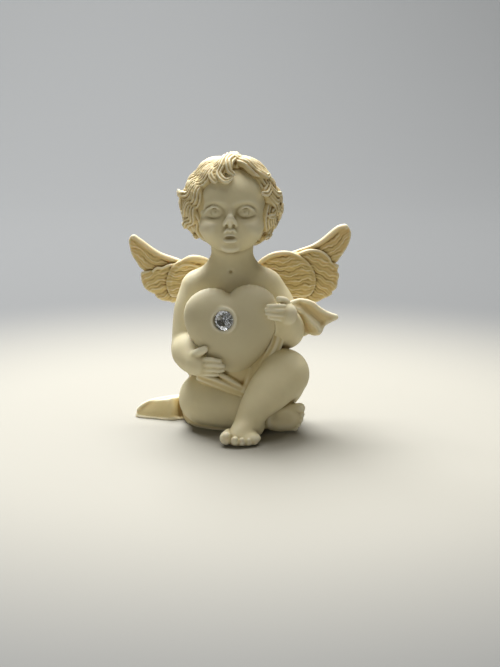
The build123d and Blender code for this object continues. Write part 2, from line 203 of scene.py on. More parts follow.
class Clay:
    """A block of clay: how far each place of a grid is from the surface, negative inside, in millimetres."""

    def __init__(self, low, high, cell):
        self.cell = cell
        self.low = np.array(low, float)
        counts = np.ceil((np.array(high, float) - self.low) / cell).astype(int) + 1
        self.axes = [self.low[i] + cell * np.arange(counts[i]) for i in range(3)]
        self.field = np.full(counts, FAR, np.float32)

    def blank(self):
        """An empty block on the same grid."""
        made = copy.copy(self)
        made.field = np.full_like(self.field, FAR)
        return made

    def add(self, shape, blend=0.0, sign=1):
        """Adds a shape with a fillet. With the sign -1 it takes the shape away."""
        field, low, high = shape
        window = []
        for i, axis in enumerate(self.axes):
            first = int(np.searchsorted(axis, low[i] - MARGIN))
            window.append(slice(first, max(int(np.searchsorted(axis, high[i] + MARGIN)), first)))
        window = tuple(window)
        x, y, z = (axis[part].astype(np.float32) for axis, part in zip(self.axes, window))
        if min(len(x), len(y), len(z)) > 0:
            values = field(x[:, None, None], y[None, :, None], z[None, None, :])
            self.field[window] = sign * soft_min(sign * self.field[window], values, blend)

    def cut(self, shape, blend=0.0):
        """Takes a shape away with a fillet."""
        self.add(shape, blend, -1)

    def roll(self, blend, *points, per_span=6):
        """Adds a tube."""
        self.add(tube(*points, per_span=per_span), blend)

    def level(self):
        """Cuts the clay flat underneath, at the floor."""
        self.field = np.maximum(self.field, -self.axes[2].astype(np.float32))

    def at(self, field, places):
        """A grid's values at places, interpolated."""
        steps = (places - self.low) / self.cell
        base = np.clip(np.floor(steps).astype(int), 0, np.array(field.shape) - 2)
        share = steps - base
        out = 0
        for corner in CORNERS:
            weight = np.where(corner, share, 1 - share).prod(1)
            out = out + weight * field[tuple((base + corner).T)]
        return out

    def surface(self):
        """The clay's surface: vertex places in millimetres, and quads."""
        f = self.field
        solid = f < 0
        mixed = np.zeros([n - 1 for n in f.shape], np.uint8)
        for corner in CORNERS:
            mixed += solid[tuple(slice(d, n - 1 + d) for d, n in zip(corner, f.shape))]
        mixed = (mixed > 0) & (mixed < 8)
        cells = np.argwhere(mixed)
        number = np.full(mixed.shape, -1, np.int32)
        number[mixed] = np.arange(len(cells))
        values = np.stack([f[tuple((cells + corner).T)] for corner in CORNERS], 1)
        # Each mixed cell gets a vertex, in the middle of the places where its edges cross the surface
        total = np.zeros((len(cells), 3))
        crossings = np.zeros(len(cells))
        for p in range(8):
            for q in range(p + 1, 8):
                step = np.array(CORNERS[q]) - np.array(CORNERS[p])
                if np.abs(step).sum() != 1:
                    continue
                a, b = values[:, p], values[:, q]
                here = (a < 0) != (b < 0)
                share = np.where(here, a / np.where(here, a - b, 1), 0)
                total += np.where(here[:, None], np.array(CORNERS[p]) + share[:, None] * step, 0)
                crossings += here
        places = self.low + self.cell * (cells + total / crossings[:, None])
        # Each grid edge that crosses the surface gets a quad, between the four cells round it
        quads = []
        for axis in range(3):
            others = [i for i in range(3) if i != axis]
            inner = [slice(1, -1)] * 3
            inner[axis] = slice(None)
            edges = np.argwhere(np.diff(solid, axis=axis)[tuple(inner)])
            edges[:, others] += 1
            loops = []
            for back in ((1, 1), (0, 1), (0, 0), (1, 0)):
                cell = edges.copy()
                cell[:, others] -= back
                loops.append(number[tuple(cell.T)])
            loops = np.stack(loops, 1)
            turn_over = solid[tuple(edges.T)] == (axis == 1)
            loops[turn_over] = loops[turn_over][:, ::-1]
            quads.append(loops)
        # The vertices are drawn onto the surface
        for _ in range(2):
            half_steps = np.eye(3) * self.cell * 0.5
            slope = np.stack([self.at(f, places + s) - self.at(f, places - s) for s in half_steps], 1)
            slope = slope / self.cell
            size = np.maximum((slope**2).sum(1), 0.2)
            move = -slope * (self.at(f, places) / size)[:, None]
            places = places + np.clip(move, -0.4 * self.cell, 0.4 * self.cell)
        return places, np.vstack(quads)

    def fullness(self, reach, places):
        """How much of the space round each place is clay: more than half in a crease, less on an edge."""
        amount = np.clip(0.5 - self.field / (2 * self.cell), 0, 1).astype(np.float32)
        half = max(1, int(round(reach / self.cell)))
        for axis in (0, 1, 2) * 2:
            pad = [(0, 0)] * 3
            pad[axis] = (half + 1, half)
            run = np.cumsum(np.pad(amount, pad, mode="edge"), axis=axis, dtype=np.float64)
            high = np.take(run, range(2 * half + 1, run.shape[axis]), axis=axis)
            low = np.take(run, range(0, run.shape[axis] - 2 * half - 1), axis=axis)
            amount = ((high - low) / (2 * half + 1)).astype(np.float32)
        return self.at(amount, places)


def large_parts(count, quads):
    """Which quads belong to a connected surface that is more than a crumb."""
    label = np.arange(count)
    while True:
        low = label[quads].min(1)
        new = label.copy()
        for i in range(4):
            np.minimum.at(new, quads[:, i], low)
        new = new[new]
        if (new == label).all():
            break
        label = new
    sizes = np.bincount(label[quads[:, 0]], minlength=count)
    return sizes[label[quads[:, 0]]] > CRUMB * len(quads)


def piece(name, clay, nodes, material, place=None, crease=(0.35, 1.1)):
    """Turns clay into a piece that stands for CAD nodes. place maps its local millimetres to the row's."""
    places, quads = clay.surface()
    keep = large_parts(len(places), quads)
    quads = quads[keep]
    used = np.unique(quads)
    renumber = np.full(len(places), -1)
    renumber[used] = np.arange(len(used))
    quads, places = renumber[quads], places[used]
    fine = clay.fullness(crease[0], places)
    broad = clay.fullness(crease[1], places)
    if place is not None:
        places, mirrored = place(places)
        if mirrored:
            quads = quads[:, ::-1]
    mesh = bpy.data.meshes.new(name)
    mesh.vertices.add(len(places))
    mesh.vertices.foreach_set("co", (places * MM).astype(np.float32).ravel())
    mesh.loops.add(quads.size)
    mesh.loops.foreach_set("vertex_index", quads.astype(np.int32).ravel())
    mesh.polygons.add(len(quads))
    mesh.polygons.foreach_set("loop_start", (4 * np.arange(len(quads))).astype(np.int32))
    mesh.update(calc_edges=True)
    mesh.validate()
    for label, values in (("fine", fine), ("broad", broad)):
        mesh.attributes.new(label, "FLOAT", "POINT").data.foreach_set("value", values.astype(np.float32))
    mesh.polygons.foreach_set("use_smooth", np.ones(len(mesh.polygons), bool))
    made = bpy.data.objects.new(name, mesh)
    bpy.context.scene.collection.objects.link(made)
    mesh.materials.append(material)
    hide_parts(*nodes)
    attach(made, "root")


def ring(centre, normal, radius, thickness):
    """A round ring, for the ankle's crease, the rings round the eyes' irises and the stone's seat."""
    c = np.array(centre, float)
    n = np.array(normal, float) / np.linalg.norm(normal)

    def field(x, y, z):
        px, py, pz = x - c[0], y - c[1], z - c[2]
        along = px * n[0] + py * n[1] + pz * n[2]
        out = np.sqrt(np.maximum(px * px + py * py + pz * pz - along * along, 0))
        return np.sqrt((out - radius) ** 2 + along * along) - thickness

    return field, c - radius - thickness, c + radius + thickness


# ---- Where the row's pieces are, in millimetres ------------------------------------------------


HEAD = np.array((-1.1, 3.0, 50.6))
HEART = (-0.9, -5.6, 24.2)
HEART_TILT = 5.2
HEART_DEPTH = 5.4  # half of the heart's thickness
HEART_PEG = (-0.9, -2.0, 24.2)
HEART_PEG_END = (-0.9, 1.2, 24.2)
STONE = (-2.8, -10.158, 26.4)
STONE_FACING = np.array((-0.309, -0.951, 0.105))
FACE_TILT = 7.0  # degrees that the face looks up


def on_face(x, y, z, *more):
    """A place given from the middle of the skull, with the head's tilt. Any radius after it is kept."""
    return tuple(HEAD + turned((-FACE_TILT, 0, 0)) @ np.array((x, y, z), float)) + more


def lump(place, radii, turn=0):
    """An ellipsoid given from the middle of the skull, with the head's tilt."""
    return egg(on_face(*place), radii, (-FACE_TILT, 0, turn))


def skull(clay, shrink=0.0):
    """Adds the head's main forms."""
    clay.add(lump((0, 0.6, 0.8), np.array((8.3, 9.2, 8.6)) - shrink))
    clay.add(lump((0.3, -2.0, -3.2), np.array((7.5, 6.6, 6.9)) - shrink), 2.0)
    clay.add(lump((0.1, -2.6, 1.4), np.array((7.2, 6.4, 6.2)) - shrink), 2.0)


def sculpt_face(clay):
    """Adds the cherub's features to the head."""
    middle = -0.2

    def line(side, *rows):
        return tube(*[on_face(middle + side * x, y, z, radius) for x, y, z, radius in rows])

    for side in (LEFT, RIGHT):
        clay.add(lump((side * 4.0, -5.3, -5.3), (3.1, 3.3, 2.8)), 1.2)
    clay.add(lump((0, -3.8, -7.4), (5.3, 4.0, 3.0)), 2.0)
    clay.add(lump((middle, -6.0, -9.6), (2.0, 1.9, 1.2)), 1.2)
    clay.add(lump((middle, -6.4, -7.0), (2.5, 1.5, 2.2)), 0.9)
    for side in (LEFT, RIGHT):
        eye = middle + side * 3.5
        clay.cut(lump((eye, -8.95, -1.9), (3.6, 1.7, 2.0), side * 25), 0.9)
        clay.add(lump((eye - side * 0.1, -5.75, -1.9), (3.5, 2.05, 2.0), side * 22), 0.08)
        clay.cut(ring(on_face(eye - side * 0.2, -7.8, -1.75), (side * 0.34, -1, 0.1), 0.95, 0.11), 0.08)
        clay.cut(ball(on_face(eye - side * 0.25, -8.02, -1.7), 0.3), 0.12)
        # The upper lid, then the lower lid
        lid = (
            (1.25, -7.5, -2.7, 0.2), (2.0, -7.95, -1.35, 0.24), (3.4, -8.0, -0.6, 0.27),
            (4.9, -7.3, -1.15, 0.25), (6.0, -6.0, -2.75, 0.2),
        )
        clay.add(line(side, *lid), 0.35)
        lid = (
            (1.3, -7.4, -3.0, 0.2), (2.4, -7.7, -3.7, 0.28), (3.9, -7.4, -3.75, 0.28),
            (5.6, -6.3, -2.9, 0.2),
        )
        clay.add(line(side, *lid), 0.35)
    # The short nose turns up, so that its underside shows
    clay.add(line(1, (0, -7.3, -0.4, 0.7), (0, -8.3, -1.7, 0.6), (0, -9.5, -2.95, 0.62)), 0.9)
    for side in (LEFT, RIGHT):
        clay.add(line(side, (0, -9.6, -3.0, 0.55), (0.7, -9.2, -3.6, 0.5), (1.15, -8.5, -4.4, 0.5)), 0.45)
    clay.add(line(1, (0, -9.4, -3.4, 0.5), (0, -8.9, -4.3, 0.55), (0, -8.2, -5.2, 0.5)), 0.4)
    for side in (LEFT, RIGHT):
        clay.cut(line(side, (0.95, -9.1, -5.2, 0.38), (0.8, -8.7, -4.75, 0.32)), 0.15)
    # Lips: an upper lip with two peaks, a slightly open mouth and a full lower lip
    clay.add(lump((middle, -7.35, -6.5), (1.9, 1.2, 1.0)), 0.4)
    clay.cut(lump((middle, -8.85, -7.55), (1.8, 1.05, 0.8)), 0.25)
    for side in (LEFT, RIGHT):
        clay.cut(line(side, (1.2, -8.7, -6.75, 0.22), (0.6, -9.05, -6.35, 0.26), (0, -9.05, -6.5, 0.26)), 0.3)
    for side in (LEFT, RIGHT):
        lip = (1.95, -7.4, -7.0, 0.2), (1.35, -8.2, -6.35, 0.28), (0.65, -8.75, -5.65, 0.32)
        clay.add(line(side, *lip, (0, -8.6, -5.95, 0.28)), 0.15)
        clay.add(line(side, (1.8, -7.6, -7.3, 0.16), (1.0, -8.3, -7.0, 0.2), (0, -8.55, -6.85, 0.22)), 0.12)
    lip = (-1.6, -7.4, -7.7, 0.28), (-0.8, -8.2, -8.2, 0.44), (0, -8.45, -8.3, 0.5)
    clay.add(line(1, *lip, (0.8, -8.2, -8.2, 0.44), (1.6, -7.4, -7.7, 0.28)), 0.3)
    clay.cut(line(1, (-1.3, -8.0, -9.5, 0.5), (0, -8.2, -9.5, 0.6), (1.3, -8.0, -9.5, 0.5)), 0.8)


# From the first finger to the little one: each place from the knuckle to the tip, with its radius
RIGHT_FINGERS = (
    (
        (-7.9, -9.3, 17.3, 0.85), (-5.8, -10.4, 17.55, 0.66), (-4.4, -10.6, 17.35, 0.6),
        (-3.6, -10.4, 17.2, 0.5),
    ),
    (
        (-7.7, -9.6, 16.3, 0.85), (-5.4, -10.7, 16.5, 0.68), (-3.8, -10.7, 16.3, 0.62),
        (-2.9, -10.4, 16.15, 0.5),
    ),
    (
        (-7.7, -9.5, 15.3, 0.85), (-5.4, -10.5, 15.4, 0.66), (-3.8, -10.4, 15.25, 0.6),
        (-3.0, -10.1, 15.15, 0.5),
    ),
    (
        (-7.9, -9.1, 14.4, 0.8), (-6.0, -9.9, 14.35, 0.62), (-4.8, -9.9, 14.2, 0.56),
        (-4.1, -9.6, 14.1, 0.46),
    ),
)
LEFT_FINGERS = (
    ((10.4, -9.1, 29.2, 0.78), (9.0, -10.0, 29.5, 0.6), (7.8, -10.4, 29.6, 0.55), (7.0, -10.2, 29.6, 0.46)),
    (
        (10.5, -9.6, 28.35, 0.8), (8.8, -10.5, 28.7, 0.62), (7.4, -10.6, 28.85, 0.56),
        (6.6, -10.3, 28.9, 0.47),
    ),
    (
        (10.5, -9.7, 27.45, 0.8), (8.8, -10.5, 27.75, 0.62), (7.5, -10.6, 27.95, 0.56),
        (6.7, -10.3, 28.0, 0.47),
    ),
    (
        (10.4, -9.3, 26.6, 0.75), (9.0, -10.1, 26.85, 0.58), (7.9, -10.2, 27.0, 0.52),
        (7.2, -10.0, 27.1, 0.44),
    ),
)


def fingers(clay, rows):
    """Adds fingers side by side, then a nail near the tip of each."""
    for row in rows:
        clay.roll(0.12, *row)
    for row in rows:
        before, tip = np.array(row[-2]), np.array(row[-1])
        nail = before[:3] * 0.35 + tip[:3] * 0.65 + np.array((0, -tip[3] * 0.8, tip[3] * 0.2))
        clay.add(egg(nail, (tip[3] * 0.9, tip[3] * 0.4, tip[3] * 0.55)), 0.04)


def sculpt_body():
    """The figure: trunk, head, arms, hands, legs and feet."""
    clay = Clay((-16.5, -22.3, -0.9), (18.5, 15.0, 61.5), 0.22 * COARSE)
    # Trunk
    clay.add(egg((0.2, 3.2, 7.4), (11.8, 8.8, 8.2)))
    clay.add(egg((-0.2, 2.6, 17.0), (9.4, 7.2, 8.6)), 3.0)
    clay.add(egg((-0.9, 3.8, 27.5), (9.2, 6.0, 8.6)), 3.0)
    clay.roll(2.0, (-8.0, 3.4, 31.3, 3.8), (-1.0, 3.6, 33.2, 4.8), (6.2, 3.4, 31.6, 3.8))
    clay.roll(3.0, (-5.4, 3.8, 33.4, 2.4), (-1.0, 3.6, 35.4, 4.5), (3.4, 3.8, 33.6, 2.4))
    clay.roll(1.6, (-1.0, 3.4, 34.0, 5.0), (-0.9, 3.0, 39.0, 4.7), (-0.9, 2.8, 43.0, 5.0))
    for side in (LEFT, RIGHT):
        clay.add(egg((-0.9 + side * 4.4, 8.4, 28.6), (2.9, 1.6, 3.8), (0, side * -12, 0)), 1.8)
        clay.add(egg((0.2 + side * 4.6, 8.6, 6.0), (5.0, 4.4, 5.8)), 0.8)
    clay.cut(tube((-0.9, 10.7, 33.0, 0.7), (-0.6, 10.9, 24.0, 0.8), (0.0, 10.9, 13.0, 0.8)), 2.2)
    clay.cut(ball((-1.2, -1.9, 35.9), 0.35), 0.5)
    # Head
    skull_block = clay.blank()
    skull(skull_block)
    sculpt_face(skull_block)
    clay.field = soft_min(clay.field, skull_block.field, 0.7)
    # Right arm and hand
    clay.roll(
        1.6, (-8.5, 3.2, 31.2, 4.15), (-9.9, 2.4, 27.0, 4.2), (-10.5, 1.2, 22.4, 4.1),
        (-10.4, 0.0, 18.6, 4.3),
    )
    clay.roll(
        0.5, (-10.3, -1.2, 18.1, 4.55), (-10.2, -3.2, 17.8, 4.35), (-9.7, -5.4, 17.0, 3.65),
        (-9.1, -7.2, 16.4, 3.0),
    )
    clay.add(egg((-8.5, -8.5, 16.1), (2.6, 2.1, 2.5), (0, 0, -35)), 0.6)
    clay.cut(ball((-13.6, -4.2, 14.6), 0.5), 0.9)
    clay.roll(0.3, (-9.4, -8.2, 17.8, 1.4), (-8.2, -9.4, 19.1, 1.05), (-7.0, -10.0, 19.9, 0.8))
    fingers(clay, RIGHT_FINGERS)
    # Left arm and hand
    clay.roll(
        1.6, (6.5, 3.3, 31.4, 4.15), (8.6, 2.7, 28.4, 4.25), (10.4, 1.0, 25.0, 4.2),
        (11.0, -0.8, 22.8, 4.3),
    )
    clay.roll(
        0.5, (11.1, -1.4, 22.5, 4.35), (11.1, -3.4, 23.8, 3.95), (10.8, -5.4, 25.6, 3.2),
        (10.5, -6.8, 27.0, 2.7),
    )
    clay.add(egg((11.2, -8.1, 27.4), (2.4, 2.3, 2.5), (0, 0, 35)), 0.45)
    clay.roll(0.3, (11.2, -7.2, 29.2, 1.2), (10.6, -8.0, 30.4, 0.92), (9.4, -8.7, 30.9, 0.7))
    fingers(clay, LEFT_FINGERS)
    # Right leg: knee on the ground, shin across the front, sole to the front
    clay.roll(1.2, (-4.4, 3.6, 7.2, 6.9), (-7.1, -1.4, 6.7, 5.95))
    clay.roll(
        0.6, (-7.1, -2.0, 6.6, 5.9), (-3.8, -4.2, 5.8, 5.2), (1.6, -6.0, 4.8, 4.2), (6.6, -7.0, 4.0, 3.3),
        per_span=14,
    )
    clay.add(egg((10.2, -7.0, 3.7), (4.7, 2.4, 3.5), (0, -4, 0)), 0.8)
    clay.cut(egg((10.4, -9.9, 3.6), (2.4, 1.0, 1.6)), 0.9)
    clay.cut(ring((7.0, -7.0, 4.0), (1, -0.15, 0), 3.5, 0.3), 0.6)
    for x, z, radius in (
        (14.3, 5.7, 1.2), (14.5, 4.3, 0.9), (14.3, 3.1, 0.82), (13.9, 2.05, 0.76), (13.3, 1.1, 0.7),
    ):
        clay.roll(0.12, (x - 2.0, -7.2, z - 0.1, radius * 0.9), (x, -7.4, z, radius))
    # Left leg: thigh, raised knee, shin and the planted foot
    clay.roll(1.0, (6.6, 3.2, 7.6, 7.2), (9.2, -2.0, 10.4, 6.3), (10.8, -6.2, 13.5, 5.5), per_span=14)
    clay.roll(
        0.9, (10.7, -7.0, 13.4, 5.4), (7.6, -10.0, 10.7, 4.85), (4.8, -12.3, 8.0, 3.75),
        (3.0, -13.2, 5.2, 3.1), per_span=14,
    )
    clay.roll(
        0.9, (3.4, -12.0, 3.0, 2.9), (2.3, -14.0, 3.5, 2.8), (0.9, -16.2, 2.5, 2.4), (0.0, -17.4, 1.9, 1.9),
    )
    clay.add(egg((1.1, -16.6, 1.5), (4.3, 2.9, 1.75), (0, 0, -16)), 0.8)
    for x, y, z, radius in (
        (-2.2, -18.2, 1.85, 1.5), (-0.3, -19.3, 1.5, 1.02), (1.2, -19.3, 1.35, 0.95),
        (2.6, -18.9, 1.2, 0.9), (3.9, -18.1, 1.1, 0.85),
    ):
        clay.roll(0.12, (x * 0.9 + 0.3, y + 2.2, z + 0.2, radius * 0.85), (x, y, z, radius))
        nail = (x, y - radius * 0.62, z + radius * 0.68)
        clay.add(egg(nail, (radius * 0.56, radius * 0.5, radius * 0.34), (30, 0, 0)), 0.04)
    clay.level()
    return clay


def heart_form():
    """The puffed heart's shape: its outline is inflated the way a film over a frame is."""
    middle, tilt = np.array(HEART), math.radians(HEART_TILT)
    half = (
        (0.0, 7.3), (1.7, 8.5), (4.7, 9.0), (7.7, 8.0), (9.8, 5.9), (10.55, 3.1), (10.2, 0.2), (9.2, -2.3),
        (6.7, -6.4), (3.3, -9.5), (1.0, -10.65), (0.0, -10.85),
    )
    outline = closed_curve(list(half) + [(-a, b) for a, b in half[-2:0:-1]])
    step, reach = 0.2, 14.0
    across = np.arange(-reach, reach, step)[:, None]
    along = np.arange(-reach, reach, step)[None, :]
    distance = outline_distance(outline, across, along)
    inside = distance < 0
    height = np.where(inside, -distance, 0.0) * 3
    for _ in range(3000):
        around = sum(np.roll(height, shift, axis) for axis in (0, 1) for shift in (1, -1))
        height = np.where(inside, around / 4 + step * step, 0.0)
    height = height / height.max()
    grow_a, grow_b = np.gradient(height, step)
    rim = inside & (distance > -2 * step)
    slope = np.sqrt(grow_a**2 + grow_b**2)[rim].mean()
    height = np.where(inside, height, -distance * slope)
    grow_a, grow_b = np.gradient(height, step)

    def field(x, y, z):
        px, pz = x - middle[0], z - middle[2]
        u = np.clip((px * math.cos(tilt) + pz * math.sin(tilt) + reach) / step, 0, across.shape[0] - 2)
        v = np.clip((pz * math.cos(tilt) - px * math.sin(tilt) + reach) / step, 0, along.shape[1] - 2)
        i, j = np.floor(u).astype(int), np.floor(v).astype(int)
        fu, fv = u - i, v - j

        def sample(grid):
            return (
                grid[i, j] * (1 - fu) * (1 - fv) + grid[i + 1, j] * fu * (1 - fv)
                + grid[i, j + 1] * (1 - fu) * fv + grid[i + 1, j + 1] * fu * fv
            )

        t = (y - middle[1]) / HEART_DEPTH
        steep = sample(grow_a) ** 2 + sample(grow_b) ** 2 + (2 * t / HEART_DEPTH) ** 2
        return (t * t - sample(height)) / np.sqrt(steep + 1e-3)

    size = np.array((12.0, HEART_DEPTH, 12.0))
    return field, middle - size, middle + size


def sculpt_heart(form):
    """The heart with its peg at the back and the stone's seat."""
    clay = Clay(form[1] - 1, form[2] + (1, 4, 1), 0.22 * COARSE)
    clay.add(form)
    clay.roll(0.3, HEART_PEG + (PEG_RADIUS,), HEART_PEG_END + (PEG_RADIUS,))
    seat = np.array(STONE)
    clay.add(ring(seat, STONE_FACING, 2.75, 0.32), 0.5)
    clay.cut(tube(tuple(seat - STONE_FACING * 1.9) + (1.7,), tuple(seat + STONE_FACING * 3.0) + (2.7,)), 0.1)
    return clay


def vane(outline, depth, half, guide):
    """A plate of feathers in the wing's own plane, with wavy ribs that run along its guide curve."""
    rows, guides = closed_curve(outline), curve(guide)
    pitch = 0.68

    def field(x, y, z):
        s, up = x + 0 * z, z + 0 * x
        flat = outline_distance(rows, s, up)
        along = path_distance(guides, s, up)
        along = along + 0.3 * np.sin(0.8 * s + 0.5 * up) + 0.16 * np.sin(1.9 * s - 1.3 * up + 0.8)
        along = along + 0.06 * np.sin(4.1 * s + 2.3 * up)
        strength = 0.75 + 0.25 * np.sin(0.9 * s + 1.7 * up)
        broad_rib = 0.7 * np.cos(along * 2 * math.pi / (pitch * 2.6) + 0.35 * s)
        rib = strength * np.cos(along * 2 * math.pi / pitch) + broad_rib
        taper = 0.5 + 0.5 * np.clip(-flat / 1.4, 0, 1)
        off = np.abs(y - depth) - (half + 0.1 * rib) * taper
        return -soft_min(-flat, -off, 0.35)

    low, high = rows.min(0), rows.max(0)
    low = np.array((low[0], depth - half - 0.4, low[1]))
    high = np.array((high[0], depth + half + 0.4, high[1]))
    return field, low, high


def sculpt_wing(outlines, leading, edges, tips, high):
    """A wing in its own upright plane: X is outwards from the root, -Y the front, Z up."""
    clay = Clay((-5.4, -6.0, 24.5), high, 0.16 * COARSE)
    clay.add(egg((0.4, -0.7, 33.0), (2.9, 1.8, 2.5)))
    clay.roll(0.0, (0, 0, 33.0, PEG_RADIUS), (-2.2, -2.6, 33.0, PEG_RADIUS))
    clay.roll(1.6, (0, -0.3, 33.0, 1.5), (3.4, 0.2, 33.8, 1.4), (7.0, 0.3, 34.8, 0.9))
    # From the back layer to the front one
    guides = (leading, SLOPING_GUIDE, SLOPING_GUIDE, LEVEL_GUIDE)
    depths, halves = (0.4, -0.1, -0.3, -0.9), (0.62, 0.75, 0.75, 0.85)
    for outline, depth, half, guide in zip(outlines, depths, halves, guides):
        clay.add(vane(outline, depth, half, guide), 0.12)
    for path in edges:
        clay.roll(0.3, *path)
    # The back has three rows of long feathers, which fan out from the root
    root = np.array((1.0, 33.8))
    for reach, lift in ((0.95, 0.9), (0.68, 1.3), (0.42, 1.6)):
        for number, tip in enumerate(tips):
            way = np.array(tip) - root
            across = np.array((-way[1], way[0])) / np.linalg.norm(way)
            # The upper feathers sag in their middle
            sag = (3.2, 1.5, 0.4)[number] if number < 3 else 0.0
            points = []
            for share, bow, wide in ((0.08, 0.0, 0.8), (0.45, 0.5, 1.3), (0.8, 0.4, 1.4), (1.0, 0.0, 0.8)):
                bow = bow - sag * math.sin(math.pi * min(share * reach, 1.0))
                place = root + way * share * reach + across * bow
                points.append((place[0], lift - 0.05 * number, place[1], wide, 0.42))
            clay.add(strand(points, (10, -400, 34), groove=0.07, pitch=0.6), 0.1)
    return clay


LEVEL_GUIDE = ((-3.0, 42.0), (6.0, 41.5), (14.0, 41.5), (26.0, 38.5))
SLOPING_GUIDE = ((-3.0, 46.0), (8.0, 43.0), (16.0, 40.5), (26.0, 35.0))
LEFT_LEADING = (
    (9.0, 38.3), (11.6, 38.9), (14.2, 39.7), (16.5, 40.9), (18.3, 42.5), (20.2, 44.2), (21.6, 44.8),
)
LEFT_VANES = (
    (
        (8.0, 36.6), (10.8, 38.7), (14.2, 39.6), (16.5, 40.8), (18.3, 42.4), (20.2, 44.1), (21.6, 44.7),
        (22.8, 44.0), (23.3, 42.8), (23.1, 41.0), (22.2, 38.9), (20.9, 36.9), (19.8, 35.6), (16.0, 34.5),
        (11.0, 34.5),
    ),
    (
        (1.5, 31.0), (3.0, 28.8), (8.0, 27.3), (12.2, 26.7), (15.1, 26.4), (16.9, 27.2), (18.6, 28.0),
        (18.9, 28.9), (17.0, 31.5), (9.0, 33.0),
    ),
    (
        (9.8, 37.8), (11.2, 38.3), (12.9, 38.9), (15.0, 39.0), (16.8, 38.4), (18.1, 37.2), (18.8, 36.0),
        (20.3, 35.3), (20.1, 33.9), (20.5, 32.8), (20.2, 31.6), (19.9, 29.8), (18.6, 28.9), (16.0, 28.6),
        (10.0, 30.0),
    ),
    (
        (1.2, 36.0), (2.2, 37.0), (4.7, 38.4), (7.2, 38.8), (9.1, 38.6), (10.8, 37.8), (12.3, 36.7),
        (13.7, 35.3), (14.6, 33.6), (14.9, 31.4), (14.3, 29.2), (12.6, 27.9), (8.0, 28.2), (3.0, 29.8),
        (0.8, 32.0),
    ),
)
LEFT_WING_EDGES = (
    (
        (9.4, 0.1, 38.0, 0.5), (12.0, 0.3, 38.7, 0.55), (14.4, 0.3, 39.5, 0.6), (16.6, 0.3, 40.7, 0.65),
        (18.5, 0.3, 42.2, 0.7), (20.4, 0.3, 43.7, 0.75), (21.8, 0.3, 44.1, 0.75),
    ),
    (
        (1.2, -1.1, 36.0, 0.6), (2.6, -1.2, 37.1, 0.6), (4.7, -1.2, 38.1, 0.62), (7.2, -1.2, 38.4, 0.6),
        (9.2, -1.1, 38.1, 0.5), (11.0, -1.0, 37.3, 0.42), (12.6, -1.0, 36.0, 0.34),
        (13.7, -1.0, 34.6, 0.28),
    ),
    (
        (10.6, -0.6, 37.8, 0.4), (12.9, -0.6, 38.6, 0.4), (15.0, -0.6, 38.7, 0.38),
        (16.7, -0.6, 38.0, 0.36), (17.9, -0.6, 36.9, 0.32), (18.5, -0.6, 35.6, 0.26),
    ),
)
RIGHT_LEADING = (
    (7.4, 36.6), (9.4, 37.3), (10.9, 37.7), (12.9, 38.4), (15.4, 40.0), (17.3, 41.4), (18.6, 42.5),
)
RIGHT_VANES = (
    (
        (6.4, 35.4), (8.0, 36.8), (10.4, 37.5), (12.9, 38.3), (15.4, 39.9), (17.3, 41.3), (18.4, 42.3),
        (19.4, 42.0), (19.8, 41.0), (19.6, 39.4), (19.1, 37.5), (18.1, 35.9), (16.8, 34.2), (13.0, 32.5),
        (8.0, 33.0),
    ),
    (
        (1.0, 31.0), (2.5, 29.0), (6.0, 27.5), (9.4, 26.5), (10.3, 26.8), (11.7, 26.9), (12.9, 27.4),
        (13.7, 28.4), (12.0, 30.5), (6.0, 32.5),
    ),
    (
        (7.6, 35.6), (9.7, 35.8), (10.8, 35.5), (11.8, 35.0), (13.0, 35.0), (14.0, 34.3), (15.4, 34.0),
        (16.8, 33.7), (16.9, 32.4), (16.6, 31.0), (15.9, 29.7), (14.4, 28.8), (12.6, 28.5), (8.0, 29.6),
        (5.0, 32.5),
    ),
    (
        (0.4, 36.2), (1.7, 37.4), (4.4, 38.0), (5.8, 37.7), (7.0, 36.9), (8.2, 36.2), (9.4, 35.2),
        (10.3, 33.6), (10.8, 31.4), (10.4, 29.4), (9.2, 28.0), (6.0, 28.6), (2.0, 30.4), (0.2, 32.5),
    ),
)
RIGHT_WING_EDGES = (
    (
        (7.8, 0.0, 36.2, 0.55), (10.6, 0.2, 37.0, 0.62), (12.9, 0.3, 37.8, 0.68), (15.2, 0.3, 39.2, 0.72),
        (17.0, 0.3, 40.6, 0.72), (18.6, 0.3, 41.8, 0.62),
    ),
    (
        (0.4, -1.0, 36.4, 0.8), (2.4, -1.2, 37.0, 0.95), (4.4, -1.2, 37.2, 0.9), (6.2, -1.0, 36.5, 0.7),
        (8.0, -0.8, 35.9, 0.5), (9.2, -0.8, 35.0, 0.35),
    ),
    (
        (1.4, -1.6, 34.8, 0.35), (3.1, -1.7, 35.5, 0.36), (4.8, -1.7, 35.9, 0.36), (6.6, -1.6, 35.6, 0.34),
        (7.6, -1.5, 35.0, 0.26),
    ),
    (
        (13.9, -0.8, 34.0, 0.3), (13.0, -0.8, 34.7, 0.32), (11.8, -0.8, 34.7, 0.32),
        (10.7, -0.8, 35.2, 0.34), (9.7, -0.8, 35.5, 0.34), (8.4, -0.7, 35.6, 0.34),
    ),
)
LEFT_TIPS = (
    (22.2, 43.6), (22.4, 41.0), (20.6, 38.0), (19.4, 35.4), (19.4, 32.8), (18.4, 30.2), (16.4, 28.2),
    (12.8, 27.8),
)
RIGHT_TIPS = (
    (18.9, 41.6), (18.8, 39.0), (17.6, 36.4), (16.2, 33.8), (15.8, 31.4), (14.2, 29.6), (12.0, 28.0),
    (9.4, 27.6),
)


def wing_root(side):
    """Where a wing's tenon goes into the back."""
    return np.array((-0.9 + side * 4.6, 9.0, 33.0))


